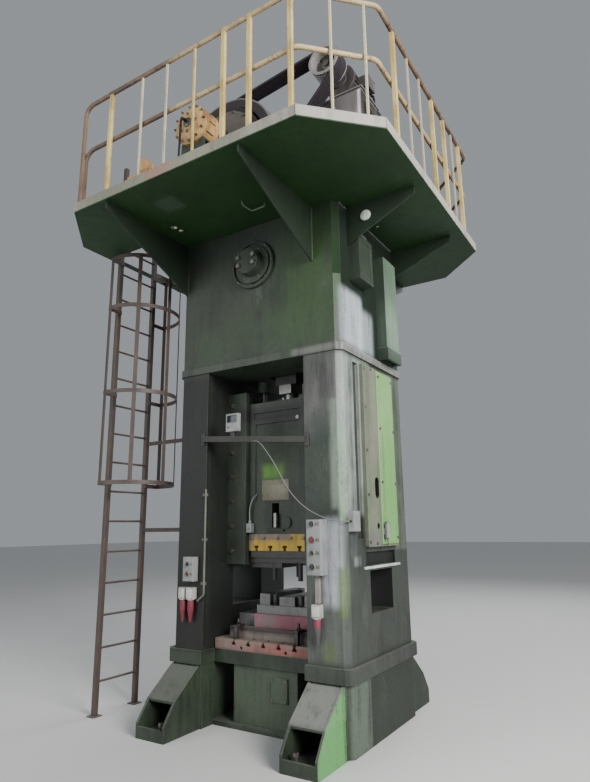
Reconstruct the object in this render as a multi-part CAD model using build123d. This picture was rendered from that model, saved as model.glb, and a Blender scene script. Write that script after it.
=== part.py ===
from build123d import *
from math import acos, asin, atan2, cos, degrees, pi, radians, sin, sqrt, tan
import os

# Straight-side crank press with one connecting rod and a crankshaft that runs from
# front to back. Millimetres. X is to the right, Y to the back and Z up. The origin is
# on the floor under the middle of the frame.

# Clearances
FIT = 0.05          # radial clearance of a shaft in its bush
SEAT = 0.3          # gap of a piece from its seat, or of two surfaces that slide past
LOOSE = 2.0         # clearance of a bolt or stud in its hole

# Frame
FRAME_W = 1800.0
FRAME_D = 1300.0
FRAME_CHAMFER = 50.0
WALL = 40.0
THROAT_W = 1070.0           # clear width between the uprights
UPRIGHT_BASE_Z = 620.0      # top of the bed under the uprights
CROWN_BASE_Z = 3120.0
CROWN_TOP_Z = 5020.0
LEDGE = 35.0                # how far the bed and crown flanges stand proud

# Bed
BED_FLANGE_H = 110.0
TABLE_FRONT = 500.0         # half the depth of the table between the uprights
BED_BOX_HALF = 325.0
BED_BOX_FRONT = 470.0
BED_FLOOR_T = 40.0
FOOT_X0 = 550.0
FOOT_X1 = 860.0
FOOT_TOP_Z = 500.0
FOOT_TOP_OUT = 30.0         # flat top of a foot, then a gentle and a steep slope
FOOT_KNEE_OUT = 310.0
FOOT_KNEE_Z = 282.0
FOOT_REACH = 430.0          # how far a foot stands out in front of the frame
FOOT_TOE_Z = 118.0
FOOT_RIB_T = 22.0
ANCHOR_IN_X = 95.0          # from the foot's outer side and toe to the anchor hole
ANCHOR_IN_Y = 80.0
ANCHOR_R = 22.0
JACK_IN_X = 95.0            # from the foot's inner side and toe to the jack screw
JACK_IN_Y = 68.0
JACK_R = 18.0

# Bolster and slide plate
BOLSTER_T = 88.0
BOLSTER_W = 1040.0
T_SLOT_PITCH = 158.0
BOLSTER_SLOTS = 5
SLIDE_SLOTS = 4
T_SLOT_NECK = 28.0
T_SLOT_HEAD = 46.0
T_SLOT_HEAD_H = 20.0
T_SLOT_DEPTH = 46.0

# Die set
SHOE_HALF_W = 430.0
SHOE_HALF_D = 400.0
LOWER_SHOE_TOP_Z = 800.0
LOWER_PLATE_TOP_Z = 912.0
LOWER_STEP_Z = 985.0
LOWER_DIE_TOP_Z = 1080.0
UPPER_DIE_Z = 1300.0
GUIDE_XS = (-70.0, 205.0)
GUIDE_Y = 205.0
GUIDE_R = 22.0
GUIDE_END_Z = 1190.0

# Slide
SLIDE_W = 800.0
SLIDE_D = 540.0
SLIDE_CHAMFER = 80.0
SLIDE_BASE_Z = 1450.0       # underside of the slide plate at the top of the stroke
SLIDE_PLATE_T = 150.0
SLIDE_TOP_Z = 2850.0
SLIDE_WALL = 45.0
SLIDE_FLOOR_T = 70.0
GIB_BASE_Z = 1330.0
GIB_TOP_Z = 2960.0
GIB_SIDE_GAP = 4.0
GIB_LIP = 55.0              # how far a gib stands out past the slide's front face
GIB_TAIL = 90.0             # how far it reaches back along the slide's side

# Crank and connecting rod
CRANK_Z = 4110.0
THROW = 100.0               # half the stroke
JOURNAL_R = 130.0
PIN_R = 165.0
PIN_LEN = 250.0
CHEEK_T = 100.0
BUSH_T = 18.0
ROD_EYE_WALL = 62.0
ROD_LEN = 1650.0            # crank pin to ball centre
ROD_HALF_W = 120.0
ROD_FOOT_Z = 3040.0
SCREW_R = 78.0
BALL_R = 112.0
BALL_ROOM = 34.0            # room between the ball and its cup over the whole turn

# Gears: bull gear on the crankshaft, intermediate pair, fast pinion
BULL_TEETH = 88
BULL_MODULE = 14.0
SLOW_PINION_TEETH = 18
MID_GEAR_TEETH = 66
MID_MODULE = 10.0
FAST_PINION_TEETH = 20
FAST_SHIFT_X = -170.0       # fast shaft, to the left of the crankshaft
BULL_FACE = 130.0           # face width of the bull gear
BULL_INSET = 65.0           # from the bull gear to the back of the frame
MID_FACE = 100.0
MID_GAP = 65.0              # from the middle gear to the inner wall
INNER_WALL_T = 50.0
INNER_WALL_GAP = 35.0       # from the inner wall to the bull gear
MID_SHAFT_R = 70.0
FAST_SHAFT_R = 60.0
PEDESTAL_T = 90.0
PEDESTAL_FRONT = 20.0       # from the front of the frame to the front pedestal
PEDESTAL_GAP = 45.0         # from the middle gear to the rear pedestal

# Flywheel, belts and motor
FLYWHEEL_R = 566.0
FLYWHEEL_FACE = 215.0
FLYWHEEL_GAP = 50.0         # from the front of the frame to the flywheel
PULLEY_R = 150.0
MOTOR_OUT = 43.0            # motor axis, outside the frame's right side
MOTOR_RISE = 769.0          # motor axis above the top of the crown
MOTOR_R = 160.0
MOTOR_LEN = 480.0
MOTOR_BACK = 50.0           # from the front of the frame to the motor's front end
MOTOR_FOOT_GAP = 14.0       # room between the motor's body and its stand
MOTOR_SHAFT_R = 35.0
STAND_LEFT = 325.0          # left plate of the motor's stand, inside the frame's right side
STAND_LOW = 175.0           # foot of its right plate, outside the frame's right side
STAND_HIGH = 246.0          # top of its right plate
STAND_T = 20.0
STAND_TOP_T = 26.0
BELT_COUNT = 6
BELT_PITCH = 26.0
BELT_W = 22.0               # width of a belt at its outer face
BELT_IN_W = 16.0            # width at its inner face
BELT_T = 18.0
GROOVE_DEPTH = 16.0

# Brake on the front end of the fast shaft
BRAKE_R = 188.0
BRAKE_LEN = 220.0
BRAKE_GAP = 305.0           # from the flywheel to the brake

# Platform
DECK_Z = 4520.0
DECK_T = 10.0
TOE_H = 100.0
TOE_T = 10.0
DECK_OUT_FRONT = 1120.0     # how far the deck reaches out from the frame
DECK_OUT_BACK = 930.0
DECK_OUT_RIGHT = 770.0
DECK_OUT_LEFT = 830.0
DECK_CUT = 490.0            # corner cut of the octagon
DECK_GAP = 6.0              # gap between the deck and the crown
HATCH_EDGE = 70.0           # from the deck's left edge to the hatch
HATCH_W = 660.0
HATCH_L = 930.0
HATCH_FRONT = 280.0         # front edge of the hatch, in front of the frame
BRACKET_T = 14.0
SIDE_BRACKET_IN = 205.0     # from the frame's front to the first bracket on its side
RAIL_H = 1050.0             # top of the guard rail above the toe board
RAIL_R = 20.0
MID_RAIL_H = 560.0
POST_W = 34.0
THIN_POST_W = 17.0
RAIL_BEND = 105.0

# Ladder
LADDER_IN = 110.0           # from the deck's left edge to the ladder
LADDER_BACK = 26.0          # from the front of the frame to the ladder's middle
LADDER_HALF = 242.0
LADDER_STILE = 44.0
LADDER_TOP_Z = 5620.0
LADDER_ARM_ZS = (1650.0, 2550.0)
RUNG_R = 11.0
RUNG_PITCH = 290.0
CAGE_R = 400.0
CAGE_OUT = 105.0            # from the ladder to the middle of the cage's arc
CAGE_ZS = (2100.0, 3000.0, 3900.0, 4450.0)
CAGE_T = 8.0
CAGE_BAR_W = 40.0

# Side windows, covers and grooves of the uprights
WINDOW_HALF = 230.0
WINDOW_Z0 = 960.0
WINDOW_Z1 = 1300.0
SIDE_COVER_FRONT = 350.0    # from the frame's front to the side cover
SIDE_COVER_BACK = 320.0
SIDE_COVER_Z0 = 1490.0
SIDE_COVER_Z1 = 3070.0
SIDE_COVER_T = 34.0
SIDE_STRIP_T = 14.0         # raised strip on the side cover
SIDE_STRIP_IN = 260.0       # from the cover's front edge to its strip
SIDE_HOLE_IN = 205.0
GROOVE_FRONT = 220.0        # from the frame's front to the groove
GROOVE_W = 100.0
GROOVE_Z0 = 1560.0
GROOVE_Z1 = 3060.0
GROOVE_DEPTH_X = 24.0

# Tie rods
TIE_R = 55.0
TIE_IN_X = 180.0            # from the frame's side and front to a rod's axis
TIE_IN_Y = 110.0
TIE_X = FRAME_W / 2 - TIE_IN_X
TIE_Y = FRAME_D / 2 - TIE_IN_Y
TIE_NUT_R = 100.0
TIE_NUT_H = 90.0

# Balancers
BALANCER_X = 330.0
BALANCER_R = 62.0
BALANCER_ROD_R = 24.0
BALANCER_Z0 = 3010.0
BALANCER_Z1 = 3620.0

# Controls
BOX_X0 = 603.0
BOX_X1 = 733.0
BOX_Z0 = 1290.0
BOX_Z1 = 1716.0
BOX_DEPTH = 110.0
BUTTON_X = 657.0
BUTTON_TRAVEL = 6.0
LEFT_BOX_X0 = -731.0
LEFT_BOX_X1 = -609.0
LEFT_BOX_Z0 = 1198.0
LEFT_BOX_Z1 = 1409.0
LEFT_BOX_DEPTH = 70.0
SOCKETS = ((-745.0, 1085.0), (-655.0, 1085.0), (648.0, 1010.0))

# Knockout bar through the slide
KNOCKOUT_X = 5.0
KNOCKOUT_W = 28.0
KNOCKOUT_H = 130.0
KNOCKOUT_Z = 1725.0
KNOCKOUT_LIFT = 60.0
KNOCKOUT_OUT = 46.0
KNOCKOUT_SLOT_LEFT = 62.0   # left edge of the slot, from the bar's middle
KNOCKOUT_SLOT_TOP = 30.0    # room over the bar at the top of its travel

# Air trunk and valve box on the right side of the crown
TRUNK_OUT = 100.0
TRUNK_Y0 = 130.0
TRUNK_Y1 = 425.0
TRUNK_Z0 = 3250.0
TRUNK_Z1 = 4250.0
TRUNK_T = 12.0
TRUNK_MOUTH_H = 125.0
TRUNK_MOUTH_OUT = 14.0
VALVE_OUT = 110.0
VALVE_GAP = 13.0            # from the front bracket on the crown's side to the valve box
VALVE_W = 275.0
VALVE_Z0 = 3820.0
VALVE_Z1 = 4250.0

# Cabinet and lubrication unit on the deck
CABINET_OUT = 170.0         # outside the frame's right side
CABINET_W = 260.0
CABINET_D = 330.0
CABINET_H = 738.0
CABINET_FRONT = 310.0       # front face, in front of the frame
TANK_IN = 190.0             # middle of the tank, inside the frame's left side
TANK_FRONT = 720.0
TANK_W = 300.0
TANK_D = 260.0
TANK_H = 370.0

# Cross bar in front of the slide, with the sensor whose wire runs to the junction box
CROSS_BAR_Z = 2428.0
CROSS_BAR_LEAN = 5.0
JUNCTION_BACK = 50.0        # from the front of the frame to the junction box
JUNCTION_W = 120.0
OILER_UP = 70.0             # from the foot of the side cover to the oiler
OILER_H = 120.0
AIR_PIPE_ZS = (1030.0, 1085.0, 2010.0)
AIR_CLIP_ZS = (1960.0, 1560.0, 1180.0)
WIRE_R = 4.0
# Route of the wire: x, distance in front of the frame and z
WIRE_ROUTE = (
    (20.0, 37.0, 2407.0),
    (60.0, 37.0, 2407.0),
    (108.0, 49.0, 2384.0),
    (152.0, 60.0, 2343.0),
    (197.0, 68.0, 2292.0),
    (250.0, 74.0, 2228.0),
    (300.0, 78.0, 2155.0),
    (348.0, 79.0, 2075.0),
    (398.0, 79.0, 1996.0),
    (455.0, 78.0, 1922.0),
    (520.0, 76.0, 1858.0),
    (590.0, 72.0, 1804.0),
    (665.0, 67.0, 1762.0),
    (740.0, 60.0, 1731.0),
    (795.0, 53.0, 1715.0),
)
# Its end round the frame's corner: distance outside the right side, in front, and z
WIRE_END = (
    (-55.0, 42.0, 1704.0),
    (-11.0, 22.0, 1700.0),
    (23.0, -7.0, 1699.0),
    (23.0, -50.0, 1699.0),
)

# Values that follow from the sizes above
HALF_W = FRAME_W / 2
HALF_D = FRAME_D / 2
THROAT = THROAT_W / 2
ANCHOR_X = FOOT_X1 - ANCHOR_IN_X
ANCHOR_Y = HALF_D + FOOT_REACH - ANCHOR_IN_Y
JACK_X = FOOT_X0 + JACK_IN_X
JACK_Y = HALF_D + FOOT_REACH - JACK_IN_Y
SIDE_COVER_Y0 = -HALF_D + SIDE_COVER_FRONT
SIDE_COVER_Y1 = HALF_D - SIDE_COVER_BACK
SIDE_STRIP_Y0 = SIDE_COVER_Y0 + SIDE_STRIP_IN
SIDE_HOLE_Y = SIDE_COVER_Y0 + SIDE_HOLE_IN
GROOVE_Y0 = -HALF_D + GROOVE_FRONT
GROOVE_Y1 = GROOVE_Y0 + GROOVE_W
SIDE_BRACKET_Y = -HALF_D + SIDE_BRACKET_IN
VALVE_Y0 = SIDE_BRACKET_Y + BRACKET_T / 2 + VALVE_GAP
VALVE_Y1 = VALVE_Y0 + VALVE_W
PIN_Z = CRANK_Z + THROW
BALL_Z = PIN_Z - ROD_LEN
SLIDE_HALF_W = SLIDE_W / 2
SLIDE_HALF_D = SLIDE_D / 2
PLATE_TOP_Z = SLIDE_BASE_Z + SLIDE_PLATE_T
STROKE = 2 * THROW
BOLSTER_TOP_Z = UPRIGHT_BASE_Z + BOLSTER_T
MID_Z = CRANK_Z + BULL_MODULE * (BULL_TEETH + SLOW_PINION_TEETH) / 2
FAST_DISTANCE = MID_MODULE * (MID_GEAR_TEETH + FAST_PINION_TEETH) / 2
FAST_Z = MID_Z + sqrt(FAST_DISTANCE**2 - FAST_SHIFT_X**2)
FAST_ANGLE = degrees(atan2(FAST_Z - MID_Z, FAST_SHIFT_X))
RAIL_Z = DECK_Z + TOE_H + RAIL_H - RAIL_R
RAIL_INSET = TOE_T + RAIL_R + SEAT      # line of the posts and rails, from the deck's edge
MID_RAIL_Z = DECK_Z + TOE_H + MID_RAIL_H
DECK_TOP_Z = DECK_Z + DECK_T
BULL_Y1 = HALF_D - BULL_INSET
BULL_Y0 = BULL_Y1 - BULL_FACE
INNER_WALL_Y1 = BULL_Y0 - INNER_WALL_GAP
INNER_WALL_Y0 = INNER_WALL_Y1 - INNER_WALL_T
MID_Y1 = INNER_WALL_Y0 - MID_GAP
MID_Y0 = MID_Y1 - MID_FACE
FRONT_PEDESTAL = (-HALF_D + PEDESTAL_FRONT, -HALF_D + PEDESTAL_FRONT + PEDESTAL_T)
REAR_PEDESTAL = (MID_Y1 + PEDESTAL_GAP, MID_Y1 + PEDESTAL_GAP + PEDESTAL_T)
FLYWHEEL_Y1 = -HALF_D - FLYWHEEL_GAP
FLYWHEEL_Y0 = FLYWHEEL_Y1 - FLYWHEEL_FACE
BRAKE_Y1 = FLYWHEEL_Y0 - BRAKE_GAP
BRAKE_Y0 = BRAKE_Y1 - BRAKE_LEN
MOTOR_X = HALF_W + MOTOR_OUT
MOTOR_Z = CROWN_TOP_Z + MOTOR_RISE
MOTOR_Y0 = -HALF_D + MOTOR_BACK
MOTOR_Y1 = MOTOR_Y0 + MOTOR_LEN
DECK_FRONT = -HALF_D - DECK_OUT_FRONT
DECK_BACK = HALF_D + DECK_OUT_BACK
DECK_RIGHT = HALF_W + DECK_OUT_RIGHT
DECK_LEFT = -HALF_W - DECK_OUT_LEFT
HATCH_X0 = DECK_LEFT + HATCH_EDGE
HATCH_X1 = HATCH_X0 + HATCH_W
HATCH_Y0 = -HALF_D - HATCH_FRONT
HATCH_Y1 = HATCH_Y0 + HATCH_L
RAIL_END_X = DECK_LEFT + DECK_CUT + 25  # left end of the rails along the front edge
RAIL_END_Y = HATCH_Y1 - 30              # front end of the rails along the left edge
LADDER_X = DECK_LEFT + LADDER_IN
LADDER_Y = -HALF_D + LADDER_BACK
WIRE_POINTS = [(x, -HALF_D - out, z) for x, out, z in WIRE_ROUTE]
WIRE_POINTS += [(HALF_W + x, -HALF_D - out, z) for x, out, z in WIRE_END]


def block(x0, x1, y0, y1, z0, z1):
    """A box given by its two ends along each axis."""
    return Pos((x0 + x1) / 2, (y0 + y1) / 2, (z0 + z1) / 2) * Box(x1 - x0, y1 - y0, z1 - z0)


def rod_y(x, z, r, y0, y1):
    """A round bar along Y."""
    return Pos(x, (y0 + y1) / 2, z) * Rot(90, 0, 0) * Cylinder(r, y1 - y0)


def rod_x(y, z, r, x0, x1):
    """A round bar along X."""
    return Pos((x0 + x1) / 2, y, z) * Rot(0, 90, 0) * Cylinder(r, x1 - x0)


def rod_z(x, y, r, z0, z1):
    """A round bar along Z."""
    return Pos(x, y, (z0 + z1) / 2) * Cylinder(r, z1 - z0)


def prism_z(points, z0, z1):
    """A prism over an outline of (x, y) points."""
    face = make_face(Polyline([(x, y, z0) for x, y in points], close=True))
    return extrude(face, amount=z1 - z0, dir=(0, 0, 1))


def prism_y(points, y0, y1):
    """A prism along Y over an outline of (x, z) points."""
    face = make_face(Polyline([(x, y0, z) for x, z in points], close=True))
    return extrude(face, amount=y1 - y0, dir=(0, 1, 0))


def prism_x(points, x0, x1):
    """A prism along X over an outline of (y, z) points."""
    face = make_face(Polyline([(x0, y, z) for y, z in points], close=True))
    return extrude(face, amount=x1 - x0, dir=(1, 0, 0))


def turned_y(x, z, profile):
    """A piece turned about an axis along Y, from (radius, y) points of its section."""
    face = make_face(Polyline([(r, y, 0) for r, y in profile], close=True))
    return Pos(x, 0, z) * revolve(face, Axis.Y)


def turned_z(x, y, profile):
    """A piece turned about an upright axis, from (radius, z) points of its section."""
    face = make_face(Polyline([(r, 0, z) for r, z in profile], close=True))
    return Pos(x, y, 0) * revolve(face, Axis.Z)


def mirrored_x(shape):
    return mirror(shape, Plane.YZ)


def mirrored_y(shape):
    return mirror(shape, Plane.XZ)


def hex_bar(across, height):
    """A hexagon bar that stands on Z = 0."""
    return extrude(RegularPolygon(across / sqrt(3), 6), amount=height)


def hex_head_y(x, y, z, across, height):
    """A hexagon head that stands out towards the front from y."""
    return Pos(x, y, z) * Rot(90, 0, 0) * hex_bar(across, height)


def gear_y(x, z, teeth, module, phase, y0, y1, bore_r):
    """A spur gear with straight-flanked teeth. phase is the angle of one tooth's middle
    from +X towards +Z, in degrees."""
    pitch_r = module * teeth / 2
    pitch = 360 / teeth
    tip_r = pitch_r + 0.9 * module
    root_r = pitch_r - 1.2 * module
    tip = pitch * 0.12
    root = pitch * 0.30
    points = []
    for i in range(teeth):
        middle = phase + i * pitch
        for radius, angle in ((root_r, -root), (tip_r, -tip), (tip_r, tip), (root_r, root)):
            a = radians(middle + angle)
            points.append((x + radius * cos(a), z + radius * sin(a)))
    return prism_y(points, y0, y1) - rod_y(x, z, bore_r, y0 - 1, y1 + 1)


def t_slot(x, y0, y1, z_face, up):
    """The space of one T-slot along Y, open at z_face. up is 1 where the slot opens
    upwards and -1 where it opens downwards."""
    far = z_face - up * T_SLOT_DEPTH
    neck_end = z_face - up * (T_SLOT_DEPTH - T_SLOT_HEAD_H)
    z_neck = sorted((z_face + up, neck_end))
    z_head = sorted((neck_end, far))
    neck = block(x - T_SLOT_NECK / 2, x + T_SLOT_NECK / 2, y0 - 1, y1 + 1, *z_neck)
    head = block(x - T_SLOT_HEAD / 2, x + T_SLOT_HEAD / 2, y0 - 1, y1 + 1, *z_head)
    return neck + head


def t_slot_places(count):
    return [(i - (count - 1) / 2) * T_SLOT_PITCH for i in range(count)]


def cut_corners(half_w, half_d, chamfer):
    """Outline of a rectangle with its four corners cut off."""
    w, d, c = half_w, half_d, chamfer
    right = [(w - c, -d), (w, -d + c), (w, d - c), (w - c, d)]
    return [(-w + c, -d)] + right + [(-w + c, d), (-w, d - c), (-w, -d + c)]


def four(shape):
    """The piece and its three mirror copies, left to right and front to back."""
    back = mirrored_y(shape)
    return [shape, back, mirrored_x(shape), mirrored_x(back)]


def foot():
    """The front right foot: two ribs, a sloping cover plate, a toe plate and a floor
    plate, with an open pocket over the anchor bolt."""
    y_body = -HALF_D
    top, knee, toe = y_body - FOOT_TOP_OUT, y_body - FOOT_KNEE_OUT, y_body - FOOT_REACH
    rib = [(y_body, 0), (toe, 0), (toe, FOOT_TOE_Z), (knee, FOOT_KNEE_Z), (top, FOOT_TOP_Z)]
    rib += [(y_body, FOOT_TOP_Z)]
    shape = prism_x(rib, FOOT_X0, FOOT_X0 + FOOT_RIB_T)
    shape += prism_x(rib, FOOT_X1 - FOOT_RIB_T, FOOT_X1)
    inset, cover_t = 6.0, 20.0
    cover = [
        (y_body, FOOT_TOP_Z - inset),
        (top, FOOT_TOP_Z - inset),
        (knee, FOOT_KNEE_Z - inset),
        (knee, FOOT_KNEE_Z - inset - cover_t),
        (y_body, FOOT_TOP_Z - inset - cover_t),
    ]
    shape += prism_x(cover, FOOT_X0, FOOT_X1)
    shape += block(FOOT_X0, FOOT_X1, toe, y_body, 0, BED_FLOOR_T)
    shape += block(FOOT_X0, FOOT_X1, toe, toe + FOOT_RIB_T, 0, FOOT_TOE_Z - 28)
    shape -= rod_z(ANCHOR_X, -ANCHOR_Y, ANCHOR_R, -1, BED_FLOOR_T + 1)
    shape -= rod_z(JACK_X, -JACK_Y, JACK_R, -1, BED_FLOOR_T + 1)
    return shape


def bed():
    """Bed: two hollow legs, the table across them, the middle box, floor and feet."""
    flange_z = UPRIGHT_BASE_Z - BED_FLANGE_H
    leg = prism_z(cut_corners(HALF_W, HALF_D, FRAME_CHAMFER), 0, flange_z)
    leg -= block(-THROAT, THROAT, -HALF_D - 1, HALF_D + 1, BED_FLOOR_T, flange_z + 1)
    shape = leg
    shape -= block(-THROAT, THROAT, -HALF_D - 1, -TABLE_FRONT, -1, flange_z + 1)
    shape -= block(-THROAT, THROAT, TABLE_FRONT, HALF_D + 1, -1, flange_z + 1)
    for side in (-1, 1):
        x = sorted((side * (THROAT + WALL), side * (HALF_W - WALL)))
        shape -= block(*x, -HALF_D + WALL, HALF_D - WALL, BED_FLOOR_T, flange_z)
    top_z = UPRIGHT_BASE_Z
    shape += prism_z(cut_corners(HALF_W + LEDGE, HALF_D + LEDGE, FRAME_CHAMFER), flange_z, top_z)
    edge, out = THROAT - 10, HALF_D + LEDGE + 1
    shape -= block(-edge, edge, -out, -TABLE_FRONT, flange_z - 1, top_z + 1)
    shape -= block(-edge, edge, TABLE_FRONT, out, flange_z - 1, top_z + 1)
    half_x, half_y = BED_BOX_HALF, BED_BOX_FRONT
    shape += block(-half_x, half_x, -half_y, half_y, BED_FLOOR_T, flange_z)
    half_x, half_y = half_x - WALL, half_y - WALL
    shape -= block(-half_x, half_x, -half_y, half_y, BED_FLOOR_T, flange_z)
    for piece in four(foot()):
        shape += piece
    for x in (-TIE_X, TIE_X):
        for y in (-TIE_Y, TIE_Y):
            shape -= rod_z(x, y, TIE_R + LOOSE, BED_FLOOR_T + 1, UPRIGHT_BASE_Z + 1)
    for side in (-1, 1):
        x = sorted((side * (HALF_W - 6), side * (HALF_W + 1)))
        shape -= block(*x, GROOVE_Y1 - 5, GROOVE_Y1 + 5, 60, flange_z - 20)
    return shape


def bed_cover():
    """Plate bolted over the hand hole of the bed's middle box."""
    y = -BED_BOX_FRONT
    shape = block(70, 235, y - 14, y, 250, 440)
    return [shape]


def bed_cover_bolts():
    y = -BED_BOX_FRONT - 14
    return [hex_head_y(x, y, z, 19, 9) for x in (88, 217) for z in (268, 422)]


def upright():
    """Right upright: a hollow column with a side window, a sight hole and a groove."""
    x0, x1 = THROAT, HALF_W
    outline = [
        (x0, -HALF_D),
        (x1 - FRAME_CHAMFER, -HALF_D),
        (x1, -HALF_D + FRAME_CHAMFER),
        (x1, HALF_D - FRAME_CHAMFER),
        (x1 - FRAME_CHAMFER, HALF_D),
        (x0, HALF_D),
    ]
    shape = prism_z(outline, UPRIGHT_BASE_Z, CROWN_BASE_Z)
    z0 = UPRIGHT_BASE_Z + WALL
    z1 = CROWN_BASE_Z - WALL
    shape -= block(x0 + WALL, x1 - WALL, -HALF_D + WALL, HALF_D - WALL, z0, z1)
    frame = block(x0, x1, -WINDOW_HALF - 30, WINDOW_HALF + 30, WINDOW_Z0 - 30, WINDOW_Z1 + 30)
    shape += frame
    shape -= block(x0 - 1, x1 + 1, -WINDOW_HALF, WINDOW_HALF, WINDOW_Z0, WINDOW_Z1)
    shape -= block(x1 - GROOVE_DEPTH_X, x1 + 1, GROOVE_Y0, GROOVE_Y1, GROOVE_Z0, GROOVE_Z1)
    shape -= block(x1 - 30, x1 + 1, SIDE_COVER_Y0, SIDE_COVER_Y1 - 20, WINDOW_Z1 + 40, SIDE_COVER_Z0 - 40)
    for x, y in ((TIE_X, -TIE_Y), (TIE_X, TIE_Y)):
        shape -= rod_z(x, y, TIE_R + LOOSE, UPRIGHT_BASE_Z - 1, z0 + 1)
        shape -= rod_z(x, y, TIE_R + LOOSE, z1 - 1, CROWN_BASE_Z + 1)
    return shape


def oval(y, z, r, stretch, x0, x1):
    """An upright oval hole through a wall across X."""
    middle = block(x0, x1, y - r, y + r, z - stretch, z + stretch)
    return middle + rod_x(y, z - stretch, r, x0, x1) + rod_x(y, z + stretch, r, x0, x1)


def side_cover():
    """Cover plate on the outside of the right upright, with a raised strip and two holes."""
    x = HALF_W
    z0, z1 = SIDE_COVER_Z0, SIDE_COVER_Z1
    shape = block(x, x + SIDE_COVER_T, SIDE_COVER_Y0, SIDE_COVER_Y1, z0, z1)
    shape = fillet(shape.edges().filter_by(Axis.X), 12)
    strip_x = x + SIDE_COVER_T + SIDE_STRIP_T
    strip = block(x, strip_x, SIDE_STRIP_Y0, SIDE_COVER_Y1 - 22, z0 + 16, z1 - 16)
    shape += chamfer(strip.faces().sort_by(Axis.X)[-1].edges(), 6)
    shape -= oval(SIDE_HOLE_Y, z0 + 495, 42, 50, x - 1, x + 60)
    shape -= rod_x(SIDE_HOLE_Y, z0 + 170, 26, x - 1, x + 60)
    return shape


def crown():
    """Crown: a hollow box with an inner wall, bearing bosses and a gear opening on top."""
    shape = prism_z(cut_corners(HALF_W, HALF_D, FRAME_CHAMFER), CROWN_BASE_Z, CROWN_TOP_Z)
    rim = prism_z(cut_corners(HALF_W + 14, HALF_D + 14, FRAME_CHAMFER), CROWN_BASE_Z, CROWN_BASE_Z + 70)
    shape += rim
    inner_x = HALF_W - WALL
    inner_y = HALF_D - WALL
    z0 = CROWN_BASE_Z + WALL
    z1 = CROWN_TOP_Z - WALL
    shape -= block(-inner_x, inner_x, -inner_y, INNER_WALL_Y0, z0, z1)
    shape -= block(-inner_x, inner_x, INNER_WALL_Y1, inner_y, z0, z1)
    bore = JOURNAL_R + BUSH_T
    front_end = -PIN_LEN / 2 - CHEEK_T - 6
    rear_start = PIN_LEN / 2 + CHEEK_T + 6
    shape += rod_y(0, CRANK_Z, bore + 55, -HALF_D, front_end)
    shape += rod_y(0, CRANK_Z, bore + 55, rear_start, BULL_Y0 - 10)
    shape += rod_y(0, CRANK_Z, bore + 45, BULL_Y1 + 8, HALF_D)
    shape -= rod_y(0, CRANK_Z, bore, -HALF_D - 1, HALF_D + 1)
    shape += rod_y(0, MID_Z, MID_SHAFT_R + BUSH_T + 34, MID_Y1 + 10, BULL_Y0 - 8)
    shape += rod_y(0, MID_Z, MID_SHAFT_R + BUSH_T + 34, BULL_Y1 + 8, HALF_D)
    shape -= rod_y(0, MID_Z, MID_SHAFT_R + BUSH_T, MID_Y1, HALF_D + 1)
    # openings for the rod below, for the middle gear above
    shape -= block(-ROD_HALF_W - 60, ROD_HALF_W + THROW + 60, -170, 170, CROWN_BASE_Z - 1, z0 + 1)
    gear_half = MID_MODULE * MID_GEAR_TEETH / 2 + 40
    shape -= block(-gear_half - 40, gear_half, MID_Y0 - 25, MID_Y1 + 25, z1 - 1, CROWN_TOP_Z + 1)
    tip = BULL_MODULE * SLOW_PINION_TEETH / 2 + 40
    shape -= block(-tip, tip, BULL_Y0 - 8, BULL_Y1 + 8, z1 - 1, z1 + 20)
    for x in (-BALANCER_X, BALANCER_X):
        shape -= rod_z(x, 0, BALANCER_R + 12 + LOOSE, CROWN_BASE_Z - 1, z0 + 1)
    for x in (-TIE_X, TIE_X):
        for y in (-TIE_Y, TIE_Y):
            shape -= rod_z(x, y, TIE_R + LOOSE, CROWN_BASE_Z - 1, z0 + 1)
            shape -= rod_z(x, y, TIE_R + LOOSE, z1 - 1, CROWN_TOP_Z + 1)
    return shape


def tie_rods():
    """Four tie rods, with nuts on top of the crown and under the bed's flange."""
    low_end = UPRIGHT_BASE_Z - BED_FLANGE_H - TIE_NUT_H - 40
    rod = rod_z(TIE_X, -TIE_Y, TIE_R, low_end, CROWN_TOP_Z + TIE_NUT_H + 25)
    top = Pos(TIE_X, -TIE_Y, CROWN_TOP_Z) * hex_bar(TIE_NUT_R * 1.7, TIE_NUT_H)
    top -= rod_z(TIE_X, -TIE_Y, TIE_R + FIT, CROWN_TOP_Z - 1, CROWN_TOP_Z + TIE_NUT_H + 1)
    z = UPRIGHT_BASE_Z - BED_FLANGE_H - TIE_NUT_H
    low = Pos(TIE_X, -TIE_Y, z) * hex_bar(TIE_NUT_R * 1.3, TIE_NUT_H)
    low -= rod_z(TIE_X, -TIE_Y, TIE_R + FIT, z - 1, z + TIE_NUT_H + 1)
    return four(rod) + four(top) + four(low)


def jack_screws():
    """Levelling screws in the feet, with their lock nuts."""
    screw = rod_z(JACK_X, -JACK_Y, JACK_R - LOOSE, 0, BED_FLOOR_T + 70)
    screw += Pos(JACK_X, -JACK_Y, BED_FLOOR_T + SEAT) * hex_bar(52, 24)
    screw += Pos(JACK_X, -JACK_Y, BED_FLOOR_T + 60) * hex_bar(40, 26)
    return four(screw)


def bolster():
    z0, z1 = UPRIGHT_BASE_Z, BOLSTER_TOP_Z
    shape = block(-BOLSTER_W / 2, BOLSTER_W / 2, -TABLE_FRONT, TABLE_FRONT, z0, z1)
    for x in t_slot_places(BOLSTER_SLOTS):
        shape -= t_slot(x, -TABLE_FRONT, TABLE_FRONT, z1, 1)
    for x in (-230.0, 230.0):
        for y0, y1 in ((-TABLE_FRONT - 1, -TABLE_FRONT + 60), (TABLE_FRONT - 60, TABLE_FRONT + 1)):
            shape -= rod_y(x, z0 + 24, 14, y0, y1)
    return [shape]


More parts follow.
